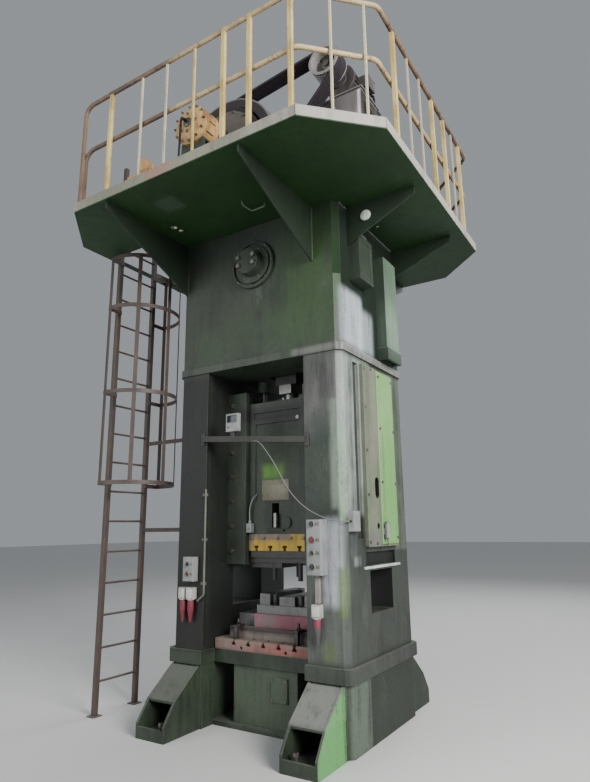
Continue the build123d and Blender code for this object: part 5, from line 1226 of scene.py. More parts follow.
@dataclass
class FrameCastings(Assembly):
    """Bed, uprights and crown: their finishes, seams and bolted trim."""

    smooth_nodes = {
        "frame_green": ("bed", "upright_left", "upright_right", "crown", "front_covers"),
        "panel_green": ("side_covers",),
        "bolt_steel": ("frame_bolts", "tie_rods"),
        "slide_green": ("slide_gibs",),
        "bronze": ("shaft_bushes",),
        "guard_green": ("balancer_cylinders",),
    }
    flat_nodes = {"under_deck_shade_green": ("platform_brackets",)}

    cover_bolt: Bolt = Bolt(0.022, 0.011)
    cover_x: float = HALF_W + 0.034
    cover_edge_y: float = -0.275
    cover_edge_heights: Row = (1.53, 1.92, 2.30, 2.68, 3.03)
    cover_end_y: float = -0.14
    cover_end_heights: Row = (1.515, 3.045)
    strip_x: float = HALF_W + 0.048
    strip_ys: Row = (-0.012, 0.28)
    strip_heights: Row = (1.56, 2.04, 2.52, 3.0)

    seam_y: float = -HALF_D - 0.002
    seam_radius: float = 0.006
    foot_seam_xs: Row = (0.549, 0.861)
    foot_seam_heights: Row = (0.04, 0.27, 0.50)
    level_seams: tuple[tuple[float, float, Row], ...] = (
        (0.497, 0.006, (0.55, 0.70, 0.86)), (0.508, 0.005, (0.545, 0.70, 0.848)))
    bracket_seam_xs: Row = (-0.848, -0.832, 0.632, 0.648)
    bracket_seam_heights: Row = (3.99, 4.25, 4.515)

    ring_bolt: Bolt = Bolt(0.014, 0.008, False)
    ring_place: Point = (0.0, -HALF_D - 0.034, 4.11)
    ring_radius: float = 0.222
    hub_bolt: Bolt = Bolt(0.020, 0.010)
    hub_place: Point = (0.0, -HALF_D - 0.036, 4.11)
    hub_radius: float = 0.158

    ledge_out: float = 0.012
    ledge_ys: Pair = (-0.345, 0.40)
    ledge_heights: Pair = (1.314, 1.336)
    ledge_bolt: Bolt = Bolt(0.011, 0.005, False)
    ledge_bolt_ys: Row = (-0.30, 0.0, 0.355)

    def steps(self) -> Steps:
        """The castings' screws, seams and ledge."""
        return (self.cover_screws, self.weld_beads, self.ring_bolts, self.window_ledge)

    def cover_screws(self) -> None:
        """Screws round both side covers."""
        places = [(self.cover_x, self.cover_edge_y, z) for z in self.cover_edge_heights]
        places += [(self.cover_x, self.cover_end_y, z) for z in self.cover_end_heights]
        places += [(self.strip_x, y, z) for y in self.strip_ys for z in self.strip_heights]
        shape = Shape().bolts(places, Facing.RIGHT, self.cover_bolt).mirrored(Mirror.X)
        self.add(shape, "cover_screws", "bolt_steel", "bolt_steel")

    def weld_beads(self) -> None:
        """Weld beads round the feet and along the platform's brackets."""
        shape = Shape()
        y = self.seam_y
        for x in self.foot_seam_xs:
            shape.pipe([(x, y, z) for z in self.foot_seam_heights], self.seam_radius, 8)
        for z, radius, xs in self.level_seams:
            shape.pipe([(x, y, z) for x in xs], radius, 8)
        shape.mirrored(Mirror.X)
        for x in self.bracket_seam_xs:
            shape.pipe([(x, y, z) for z in self.bracket_seam_heights], self.seam_radius, 8)
        shape.mirrored(Mirror.Y)
        self.add(shape, "weld_beads", "frame_green", "green_frame")

    def ring_bolts(self) -> None:
        """Small screws in the raised ring of the crank cover and in its hub."""
        shape = Shape()
        shape.bolt_circle(self.ring_place, self.ring_radius, 8, self.ring_bolt)
        shape.bolt_circle(self.hub_place, self.hub_radius, 6, self.hub_bolt)
        self.add(shape, "cover_ring_bolts", "bolt_steel", "bolt_steel")

    def window_ledge(self) -> None:
        """Narrow pale ledge over the right side window."""
        (y0, y1), (z0, z1) = self.ledge_ys, self.ledge_heights
        face = HALF_W + self.ledge_out
        shape = Shape().box((HALF_W - 0.001, y0, z0), (face, y1, z1), 0.004)
        places = [(face, y, (z0 + z1) / 2) for y in self.ledge_bolt_ys]
        shape.bolts(places, Facing.RIGHT, self.ledge_bolt)
        self.add(shape, "window_ledge", "cap_white", "green_frame")


@dataclass
class SlideTrain(Assembly):
    """Slide, dies, crank and gears."""

    smooth_nodes = {
        "slide_green": ("slide",),
        "bar_dark": ("cross_bar",),
        "tool_steel": ("lower_die",),
        "cast_dark": ("upper_die", "bull_gear", "connecting_rod", "rod_cap"),
        "turned_steel": ("knockout_bar", "crankshaft", "middle_shaft", "fast_shaft",
                         "balancer_rods", "adjusting_screw"),
        "clutch_grey": ("clutch_and_brake",),
    }
    flat_nodes = {
        "slide_yellow": ("slide_plate",),
        "bolster_salmon": ("bolster",),
        "die_red": ("die_plate",),
        "shoe_grey": ("die_shoe",),
    }

    plate_low: Point = (-0.18, -0.2595, 1.906)
    plate_high: Point = (0.122, -0.2555, 2.098)
    rivet_inset: float = 0.012
    rivet_y: float = -0.2590

    cap_screw_xs: Row = (-0.28, -0.15, 0.0, 0.15, 0.28)
    cap_screw_z: float = 1.565
    slide_face: float = -0.2695

    valve_low: Point = (-0.318, -0.325, 1.615)
    valve_high: Point = (-0.262, -0.2695, 1.700)
    valve_x: float = -0.29
    valve_y: float = -0.30
    valve_port_z: float = 1.655
    hose: Track = ((-0.29, -0.30, 1.72), (-0.292, -0.305, 1.84), (-0.26, -0.30, 1.93),
                   (-0.235, -0.258, 1.97))
    hose_radius: float = 0.006

    lens_place: Point = (0.24, -0.2695, 2.665)
    lens_profile: Profile = ((0.0, 0.0), (0.020, 0.0), (0.020, 0.012), (0.015, 0.016),
                             (0.012, 0.022), (0.0, 0.025))

    strap_low: Point = (0.294, -0.478, 0.7995)
    strap_high: Point = (0.338, -0.362, 0.8215)
    heel_low: Point = (0.296, -0.476, 0.708)
    heel_high: Point = (0.336, -0.450, 0.7995)
    stud_place: Point = (0.316, -0.424, 0.70)
    stud_length: float = 0.172
    stud_nut: Bolt = Bolt(0.030, 0.020)

    def steps(self) -> Steps:
        """The slide's plate, screws, valve and lens, and the clamps of the die shoe."""
        return (self.name_plate, self.plate_screws, self.slide_valve, self.lens, self.die_clamps)

    def name_plate(self) -> None:
        """Bare plate with rivets on the slide's front."""
        (x0, _, z0), (x1, _, z1) = self.plate_low, self.plate_high
        inset = self.rivet_inset
        shape = Shape().box(self.plate_low, self.plate_high, 0.001)
        for x in (x0 + inset, x1 - inset):
            for z in (z0 + inset, z1 - inset):
                shape.stub((x, self.rivet_y, z), Facing.FRONT, 0.003, 0.005, 0.003, 12)
        self.add(shape, "slide_plate_bare", "plate_metal", "worn_steel", "ram")

    def plate_screws(self) -> None:
        """Cap screws along the front of the slide plate."""
        shape = Shape()
        y, z = self.slide_face, self.cap_screw_z
        for x in self.cap_screw_xs:
            shape.stub((x, y, z), Facing.FRONT, 0.0115, 0.015, bevel=0.002)
            shape.stub((x, y - 0.011, z), Facing.FRONT, 0.002, 0.007, sides=6)
        self.add(shape, "slide_plate_screws", "bolt_steel", "worn_steel", "ram")

    def slide_valve(self) -> None:
        """Small valve with its hose at the slide's lower left."""
        x, y, top = self.valve_x, self.valve_y, self.valve_high[2]
        shape = Shape().box(self.valve_low, self.valve_high, 0.004)
        shape.stub((x, y, top), Facing.UP, 0.025, 0.014, sides=6)
        port = (x, self.valve_low[1], self.valve_port_z)
        shape.stub(port, Facing.FRONT, 0.020, 0.012, sides=16, bevel=0.002)
        shape.pipe(self.hose, self.hose_radius, 8, 0.05)
        self.add(shape, "slide_valve", "box_grey", "slide_green", "ram")

    def lens(self) -> None:
        """Small round lens on the band above the slide's panel."""
        shape = Shape().lathe(self.lens_place, Facing.FRONT, self.lens_profile, 24, False)
        self.add(shape, "slide_lens", "socket_white", "worn_steel", "ram")

    def die_clamps(self) -> None:
        """Straps, heel blocks, studs and nuts that hold the die shoe on the bolster."""
        x, y, _ = self.stud_place
        shape = Shape().box(self.strap_low, self.strap_high, 0.003)
        shape.box(self.heel_low, self.heel_high, 0.003)
        shape.stub(self.stud_place, Facing.UP, self.stud_length, 0.010, sides=20, bevel=0.001)
        shape.hexagon((x, y, self.strap_high[2]), Facing.UP, self.stud_nut)
        shape.mirrored(Mirror.X).mirrored(Mirror.Y)
        self.add(shape, "die_clamps", "clamp_steel", "worn_steel")


@dataclass(frozen=True)
class Lug:
    """A bolted lug at both sides of a bearing pedestal, measured across from its shaft."""

    across: Pair
    inset: float
    low: float
    high: float
    bevel: float
    bolt_across: float
    bolt: Bolt


@dataclass
class TopDrive(Assembly):
    """Flywheel, motor, brake and the rest of the machinery above the crown."""

    smooth_nodes = {
        "wheel_cast": ("flywheel",),
        "pulley_grey": ("motor_pulley",),
        "guard_green": ("bearing_pedestals", "gear_guard", "brake_stand"),
        "stand_dark": ("motor_stand",),
        "belt_rubber": ("v_belts",),
        "brake_ochre": ("brake_housing", "lubrication_unit"),
        "motor_grey": ("motor_body",),
    }
    flat_nodes = {"cabinet_grey": ("deck_cabinet",)}

    brake_face: Point = (FAST_X, -1.44, FAST_Z)
    brake_cap: Profile = ((0.0, -0.001), (0.046, -0.001), (0.046, 0.012), (0.030, 0.020),
                          (0.0, 0.020))
    brake_bolt: Bolt = Bolt(0.024, 0.014)
    brake_bolt_radius: float = 0.088
    shell_bolt: Bolt = Bolt(0.018, 0.022, False)
    shell_bolt_y: float = -1.4115
    shell_bolt_radius: float = 0.170
    brake_eye: Point = (FAST_X, -1.33, FAST_Z + 0.17)
    air_line: Track = (
        (FAST_X, -1.488, FAST_Z), (FAST_X, -1.53, FAST_Z), (FAST_X, -1.535, FAST_Z - 0.25),
        (FAST_X - 0.02, -1.53, DECK_TOP + 0.10), (FAST_X - 0.12, -1.50, DECK_TOP + 0.012),
        (-0.52, -1.42, DECK_TOP + 0.010),
    )
    air_line_radius: float = 0.010

    clutch_rim: Point = (FAST_X, -0.9575, FAST_Z)
    clutch_rim_radius: float = 0.395
    clutch_rim_bolt: Bolt = Bolt(0.030, 0.018)
    clutch_hub: Point = (FAST_X, -0.967, FAST_Z)
    clutch_hub_radius: float = 0.175
    clutch_hub_bolt: Bolt = Bolt(0.034, 0.020)

    lugs: tuple[Lug, ...] = (
        Lug((0.15, 0.235), 0.008, CROWN_TOP, CROWN_TOP + 0.024, 0.003, 0.212, Bolt(0.032, 0.020)),
        Lug((0.085, 0.135), 0.012, FAST_Z + 0.001, FAST_Z + 0.030, 0.004, 0.118,
            Bolt(0.026, 0.018)),
    )

    guard_bolt: Bolt = Bolt(0.015, 0.009)
    guard_bolt_xs: Row = (-0.42, -0.25, -0.08, 0.09, 0.26, 0.39)
    guard_bolt_ys: Row = (0.173, 0.337)
    guard_handles: tuple[Pair, ...] = ((-0.17, 5.27), (0.22, 5.10))

    motor_eye_y: float = -0.36
    lid_low: Point = (1.1725, -0.455, 5.734)
    lid_high: Point = (1.181, -0.295, 5.864)
    lid_bolt: Bolt = Bolt(0.010, 0.005, False)
    grille_y: float = -0.1185
    grille_radii: Row = (0.045, 0.085, 0.125)
    grille_spoke: Pair = (0.03, 0.14)
    grille_wire: float = 0.003
    motor_bolt: Bolt = Bolt(0.024, 0.014)
    motor_bolt_xs: Row = (MOTOR_X - 0.162, MOTOR_X + 0.162)
    motor_bolt_ys: Row = (-0.51, -0.28)
    motor_foot_z: float = 5.639
    cable: Track = (
        (1.12, -0.375, 5.72), (1.125, -0.375, 5.665), (1.20, -0.38, 5.655), (1.215, -0.39, 5.45),
        (1.21, -0.45, 5.10), (1.20, -0.55, 4.93), (1.20, -0.635, 4.92),
    )
    cable_radius: float = 0.011
    gland_radius: float = 0.018

    pulley_face: float = -0.824
    washer_thickness: float = 0.008
    pulley_bolt: Bolt = Bolt(0.052, 0.026, False)

    tank_face: float = -1.4995
    tank_top: float = 4.90
    glass_low: Point = (-0.80, -1.506, 4.60)
    glass_high: Point = (-0.77, -1.4995, 4.85)
    filler_place: Point = (-0.62, -1.40, 4.90)
    drain_place: Point = (-0.71, -1.4995, 4.57)
    tank_bolt: Bolt = Bolt(0.018, 0.011)
    tank_bolt_xs: Row = (-0.845, -0.575)
    tank_bolt_ys: Row = (-1.485, -1.255)
    manifold_low: Point = (-0.655, -1.31, 4.8995)
    manifold_high: Point = (-0.575, -1.265, 4.955)
    outlet_xs: Row = (-0.645, -0.625, -0.605, -0.585)
    outlet_y: float = -1.288
    oil_motor: Pair = (-0.71, 5.0)
    oil_motor_fins: Row = (-1.46, -1.43, -1.40, -1.37, -1.34, -1.31)
    oil_pipe_radius: float = 0.004

    door_low: Point = (1.085, -0.971, 4.56)
    door_high: Point = (1.315, -0.9595, 5.25)
    hinge_heights: Row = (4.66, 4.90, 5.14)
    lock_place: Point = (1.29, -0.9705, 4.92)
    handle_low: Point = (1.283, -0.993, 4.86)
    handle_high: Point = (1.297, -0.984, 4.935)
    louvre_low: Point = (1.3290, -0.90, 4.98)
    louvre_size: Point = (0.007, 0.20, 0.012)
    louvre_pitch: float = 0.026
    louvre_count: int = 8

    def steps(self) -> Steps:
        """The fittings of brake, clutch, pedestals, motor, lubrication unit and cabinet."""
        return (self.brake_trim, self.brake_line, self.clutch_bolts, self.pedestal_feet,
                self.guard_bolts, self.motor_trim, self.motor_cable, self.pulley_nut,
                self.lubricator_trim, self.oil_pipes, self.cabinet_trim)

    def brake_trim(self) -> None:
        """Bolts, cap and lifting eye of the brake housing."""
        shape = Shape()
        shape.bolt_circle(self.brake_face, self.brake_bolt_radius, 8, self.brake_bolt)
        shape.lathe(self.brake_face, Facing.FRONT, self.brake_cap, 32, False)
        shell = (FAST_X, self.shell_bolt_y, FAST_Z)
        shape.bolt_circle(shell, self.shell_bolt_radius, 12, self.shell_bolt)
        shape.eye(self.brake_eye, 0.03, 0.014, 0.052, 0.020)
        self.add(shape, "brake_trim", "bolt_steel", "brake_ochre")

    def brake_line(self) -> None:
        """Air line from the middle of the brake cover down to the deck."""
        shape = Shape().stub((FAST_X, -1.459, FAST_Z), Facing.FRONT, 0.031, 0.016, sides=6)
        shape.pipe(self.air_line, self.air_line_radius, 12, 0.06)
        self.add(shape, "brake_air_line", "black_plastic", "brake_ochre")

    def clutch_bolts(self) -> None:
        """Two rings of bolts on the clutch plate."""
        shape = Shape()
        shape.bolt_circle(self.clutch_rim, self.clutch_rim_radius, 16, self.clutch_rim_bolt)
        shape.bolt_circle(self.clutch_hub, self.clutch_hub_radius, 6, self.clutch_hub_bolt)
        self.add(shape, "clutch_bolts", "bolt_steel", "worn_steel", "fast_gears")

    def pedestal_feet(self) -> None:
        """Feet, cap lugs and bolts of the two bearing pedestals."""
        shape = Shape()
        for y0, y1 in PEDESTAL_YS:
            for side in (-1, 1):
                for lug in self.lugs:
                    x0, x1 = sorted(FAST_X + side * across for across in lug.across)
                    low, high = (x0, y0 + lug.inset, lug.low), (x1, y1 - lug.inset, lug.high)
                    shape.box(low, high, lug.bevel)
                    place = (FAST_X + side * lug.bolt_across, (y0 + y1) / 2, lug.high)
                    shape.hexagon(place, Facing.UP, lug.bolt)
        self.add(shape, "pedestal_feet", "guard_green", "green_guard")

    def guard_bolts(self) -> None:
        """Bolts along the gear guard's flange, and its two handles."""
        z = CROWN_TOP + 0.006
        places = [(x, y, z) for x in self.guard_bolt_xs for y in self.guard_bolt_ys]
        shape = Shape().bolts(places, Facing.UP, self.guard_bolt)
        back, front, wide = 0.181, 0.150, 0.10
        for x, z in self.guard_handles:
            track = [(x, back, z), (x, front, z), (x + wide, front, z), (x + wide, back, z)]
            shape.pipe(track, 0.006, 8, 0.02)
        self.add(shape, "guard_bolts", "bolt_steel", "green_guard")

    def motor_trim(self) -> None:
        """Lifting eye, terminal lid, fan grille and foot bolts of the motor."""
        shape = Shape()
        shape.eye((MOTOR_X, self.motor_eye_y, MOTOR_Z + 0.135), 0.033, 0.016, 0.055, 0.022)
        (_, y0, z0), (face, y1, z1) = self.lid_low, self.lid_high
        shape.box(self.lid_low, self.lid_high, 0.002)
        corners = [(face, y, z) for y in (y0 + 0.01, y1 - 0.01) for z in (z0 + 0.01, z1 - 0.01)]
        shape.bolts(corners, Facing.RIGHT, self.lid_bolt)
        middle = Vector((MOTOR_X, self.grille_y, MOTOR_Z))
        for radius in self.grille_radii:
            shape.ring(middle, Facing.BACK, radius, self.grille_wire, 36, 8)
        near, far = self.grille_spoke
        for angle in (45, 135, 225, 315):
            out = Vector((math.cos(math.radians(angle)), 0.0, math.sin(math.radians(angle))))
            shape.bar(middle + out * near, middle + out * far, self.grille_wire, sides=8)
        feet = [(x, y, self.motor_foot_z) for x in self.motor_bolt_xs for y in self.motor_bolt_ys]
        shape.bolts(feet, Facing.UP, self.motor_bolt)
        self.add(shape, "motor_trim", "motor_grey", "motor_grey")

    def motor_cable(self) -> None:
        """Sheathed motor cable from the terminal box into the cabinet."""
        shape = Shape()
        shape.bar((1.12, -0.375, 5.742), (1.12, -0.375, 5.716), self.gland_radius, sides=6)
        shape.pipe(self.cable, self.cable_radius, 12, 0.04)
        shape.bar((1.20, -0.6305, 4.92), (1.20, -0.60, 4.92), self.gland_radius, sides=6)
        self.add(shape, "motor_cable", "black_plastic", "motor_grey")

    def pulley_nut(self) -> None:
        """Washer and nut in the middle of the motor pulley."""
        place = (MOTOR_X, self.pulley_face, MOTOR_Z)
        thick = self.washer_thickness
        shape = Shape().stub(place, Facing.FRONT, thick, 0.048, sides=32, bevel=0.001)
        seat = (MOTOR_X, self.pulley_face - thick, MOTOR_Z)
        shape.hexagon(seat, Facing.FRONT, self.pulley_bolt)
        self.add(shape, "pulley_nut", "bolt_steel", "dark_cast", "rotor")

    def lubricator_trim(self) -> None:
        """Level glass, filler cap, drain, bolts, manifold and fins of the lubrication unit."""
        shape = Shape().box(self.glass_low, self.glass_high, 0.003)
        shape.stub(self.filler_place, Facing.UP, 0.045, 0.034, 0.030, 24, 0.004)
        shape.stub(self.drain_place, Facing.FRONT, 0.0305, 0.014, sides=6)
        places = [(x, y, self.tank_top) for x in self.tank_bolt_xs for y in self.tank_bolt_ys]
        shape.bolts(places, Facing.UP, self.tank_bolt)
        shape.box(self.manifold_low, self.manifold_high, 0.003)
        for x in self.outlet_xs:
            place = (x, self.outlet_y, self.manifold_high[2])
            shape.stub(place, Facing.UP, 0.017, 0.006, sides=6)
        x, z = self.oil_motor
        for y in self.oil_motor_fins:
            shape.ring((x, y, z), Facing.BACK, 0.0625, 0.004, 32, 6)
        self.add(shape, "lubricator_trim", "brake_ochre", "brake_ochre")

    def oil_pipes(self) -> None:
        """Thin oil pipes from the lubrication unit to the crown."""
        shape = Shape()
        for i, x in enumerate(self.outlet_xs):
            high, low = 5.02 + 0.012 * i, 4.62 + 0.012 * i
            track = [(x, self.outlet_y, 4.97), (x, -1.285, high), (x, -1.05, high),
                     (x, -0.80, low), (x, -0.648, low)]
            shape.pipe(track, self.oil_pipe_radius, 8, 0.03)
        self.add(shape, "oil_pipes", "bronze", "bronze")

    def cabinet_trim(self) -> None:
        """Door leaf, hinges, handle and louvres of the deck cabinet."""
        shape = Shape().box(self.door_low, self.door_high, 0.003)
        x = self.door_low[0]
        for z in self.hinge_heights:
            shape.stub((x, -0.972, z - 0.03), Facing.UP, 0.06, 0.008, sides=16, bevel=0.001)
        shape.stub(self.lock_place, Facing.FRONT, 0.0145, 0.016, bevel=0.002)
        shape.box(self.handle_low, self.handle_high, 0.003)
        for i in range(self.louvre_count):
            low = Vector(self.louvre_low) + Vector((0, 0, self.louvre_pitch * i))
            shape.box(low, low + Vector(self.louvre_size), 0.003)
        self.add(shape, "cabinet_trim", "cabinet_grey", "box_grey")


@dataclass
class Platform(Assembly):
    """Deck, toe board, guard rail, ladder and cage."""

    smooth_nodes = {
        "rail_rust": ("guardrail_rails",),
        "ladder_dark": ("ladder", "ladder_cage"),
        "pipe_grey": ("air_pipe",),
        "valve_green": ("crown_side_boxes",),
    }
    flat_nodes = {
        "deck_green": ("platform_deck",),
        "toe_green": ("toe_board",),
        "post_cream": ("guardrail_posts",),
        "trunk_green": ("air_trunk",),
    }

    front_post_xs: Row = (-0.85, 0.482, 0.74, 1.1245)
    right_post_ys: Row = (-0.985, -0.04, 0.30, 0.80)
    back_post_xs: Row = (1.0785, 0.40, -0.30, -1.05)
    left_post_ys: Row = (1.05, 0.56, 0.12)
    sleeve_half: float = 0.026
    sleeve_radius: float = 0.0225
    foot_half: float = 0.04
    foot_reach: float = 0.055
    foot_overlap: float = 0.018
    foot_thickness: float = 0.008
    foot_bolt: Bolt = Bolt(0.014, 0.008)
    foot_bolt_step: float = 0.026

    toe_corners: tuple[Pair, ...] = (
        (-1.24, -1.77), (1.18, -1.77), (1.67, -1.28), (1.67, 1.09),
        (1.18, 1.58), (-1.24, 1.58), (-1.73, 1.09), (-1.73, -1.28),
    )
    toe_seam_heights: Row = (4.532, 4.575, 4.618)

    arm_bolt: Bolt = Bolt(0.022, 0.012)
    arm_heights: Row = (1.65, 2.55)
    arm_bolt_ys: Row = (-0.425, -0.339)
    hoop_centre: Pair = (-1.515, -0.624)
    hoop_radius: float = 0.3995
    hoop_heights: Row = (2.10, 3.00, 3.90, 4.45)
    hoop_angles: Row = (-98, -49, 0, 49, 98)
    stile_ys: Row = (-0.866, -0.382)

    valve_bolt: Bolt = Bolt(0.014, 0.007, False)
    valve_face: float = 1.0095
    valve_bolt_ys: Row = (-0.41, -0.165)
    valve_bolt_heights: Row = (3.895, 4.185)
    valve_rivet: Point = (0.918, -0.4248, 3.836)
    valve_rivet_pitch: float = 0.018

    cap_place: Point = (1.097, -0.452, 4.39)
    cap_profile: Profile = ((0.0, -0.001), (0.046, -0.001), (0.050, 0.002), (0.050, 0.010),
                            (0.046, 0.013), (0.0, 0.016))
    hook: Track = ((0.18, -1.081, 4.521), (0.18, -1.081, 4.485), (0.205, -0.964, 4.470),
                   (0.334, -0.95, 4.485), (0.334, -0.95, 4.521))
    hook_radius: float = 0.007

    def steps(self) -> Steps:
        """The rail's sleeves and feet, seams, fasteners, cap and hook."""
        return (self.rail_sleeves, self.post_feet, self.toe_seams, self.ladder_fasteners,
                self.valve_trim, self.bracket_cap, self.deck_hook)

    def post_places(self) -> list[tuple[float, float, Side]]:
        """Where the thick posts stand.

        Returns:
            Each post's x, y and the side of the deck that it stands on.
        """
        front, back, right, left = Side.FRONT, Side.BACK, Side.RIGHT, Side.LEFT
        places = [(x, front.line, front) for x in self.front_post_xs]
        places += [(right.line, y, right) for y in self.right_post_ys]
        places += [(x, back.line, back) for x in self.back_post_xs]
        places += [(left.line, y, left) for y in self.left_post_ys]
        return places

    def rail_sleeves(self) -> None:
        """Short welded sleeves where the top rail meets the posts."""
        shape = Shape()
        for x, y, side in self.post_places():
            dx, dy = side.inward
            along = Vector((abs(dy), abs(dx), 0)) * self.sleeve_half
            middle = Vector((x, y, RAIL_Z))
            shape.bar(middle - along, middle + along, self.sleeve_radius, sides=20, bevel=0.0012)
        self.add(shape, "rail_sleeves", "rail_rust", "rail_rust")

    def post_feet(self) -> None:
        """Base plates and bolts of the thick posts."""
        shape = Shape()
        top = DECK_TOP + self.foot_thickness
        for x, y, side in self.post_places():
            dx, dy = side.inward
            wide_x, wide_y = self.foot_half * abs(dy), self.foot_half * abs(dx)
            end_x, end_y = x + self.foot_reach * dx, y + self.foot_reach * dy
            low = (min(x - wide_x, end_x) - self.foot_overlap * abs(dx),
                   min(y - wide_y, end_y) - self.foot_overlap * abs(dy), DECK_TOP)
            shape.box(low, (max(x + wide_x, end_x), max(y + wide_y, end_y), top), 0.001)
            for step in (-self.foot_bolt_step, self.foot_bolt_step):
                place = (x + self.foot_half * dx + step * abs(dy),
                         y + self.foot_half * dy + step * abs(dx), top)
                shape.hexagon(place, Facing.UP, self.foot_bolt)
        self.add(shape, "post_feet", "post_cream", "post_cream")

    def toe_seams(self) -> None:
        """Welds at the toe board's corners."""
        shape = Shape()
        for x, y in self.toe_corners:
            shape.pipe([(x, y, z) for z in self.toe_seam_heights], 0.004, 8)
        self.add(shape, "toe_seams", "toe_green", "deck_green")

    def ladder_fasteners(self) -> None:
        """Bolts of the ladder's arms, rivets of its cage and plates under its stiles."""
        face = -HALF_W - 0.008
        places = [(face, y, z) for z in self.arm_heights for y in self.arm_bolt_ys]
        shape = Shape().bolts(places, Facing.LEFT, self.arm_bolt)
        for z in self.hoop_heights:
            for angle in self.hoop_angles:
                out = Vector((math.cos(math.radians(angle)), math.sin(math.radians(angle)), 0.0))
                place = Vector((*self.hoop_centre, z)) + out * self.hoop_radius
                shape.bar(place, place + out * 0.005, 0.008, 0.005, 12)
        for y in self.stile_ys:
            shape.box((-1.67, y - 0.05, 0.0), (-1.57, y + 0.05, 0.008), 0.001)
        self.add(shape, "ladder_fasteners", "ladder_dark", "ladder_dark")

    def valve_trim(self) -> None:
        """Lid screws and the row of rivets along the foot of the valve box."""
        x, heights = self.valve_face, self.valve_bolt_heights
        places = [(x, y, z) for y in self.valve_bolt_ys for z in heights]
        shape = Shape().bolts(places, Facing.RIGHT, self.valve_bolt)
        x, y, z = self.valve_rivet
        for i in range(5):
            place = (x + self.valve_rivet_pitch * i, y, z)
            shape.stub(place, Facing.FRONT, 0.0037, 0.005, 0.003, 12)
        self.add(shape, "valve_trim", "valve_green", "green_cover")

    def bracket_cap(self) -> None:
        """Pale round cap on the first bracket at the right."""
        shape = Shape().lathe(self.cap_place, Facing.FRONT, self.cap_profile, 40, False)
        self.add(shape, "bracket_cap", "cap_white", "mint_trunk")

    def deck_hook(self) -> None:
        """Bent round bar under the deck in front of the crown."""
        shape = Shape().pipe(self.hook, self.hook_radius, 10, 0.02)
        self.add(shape, "deck_hook", "trunk_green", "mint_trunk")


@dataclass(frozen=True)
class Panel:
    """A control box's front: its face, its buttons' heights and radii, and its legends."""

    across: Pair
    face: float
    heights: Pair
    button_x: float
    button_y: float
    buttons: tuple[Pair, ...]
    legend_across: Pair
    legend_half: float


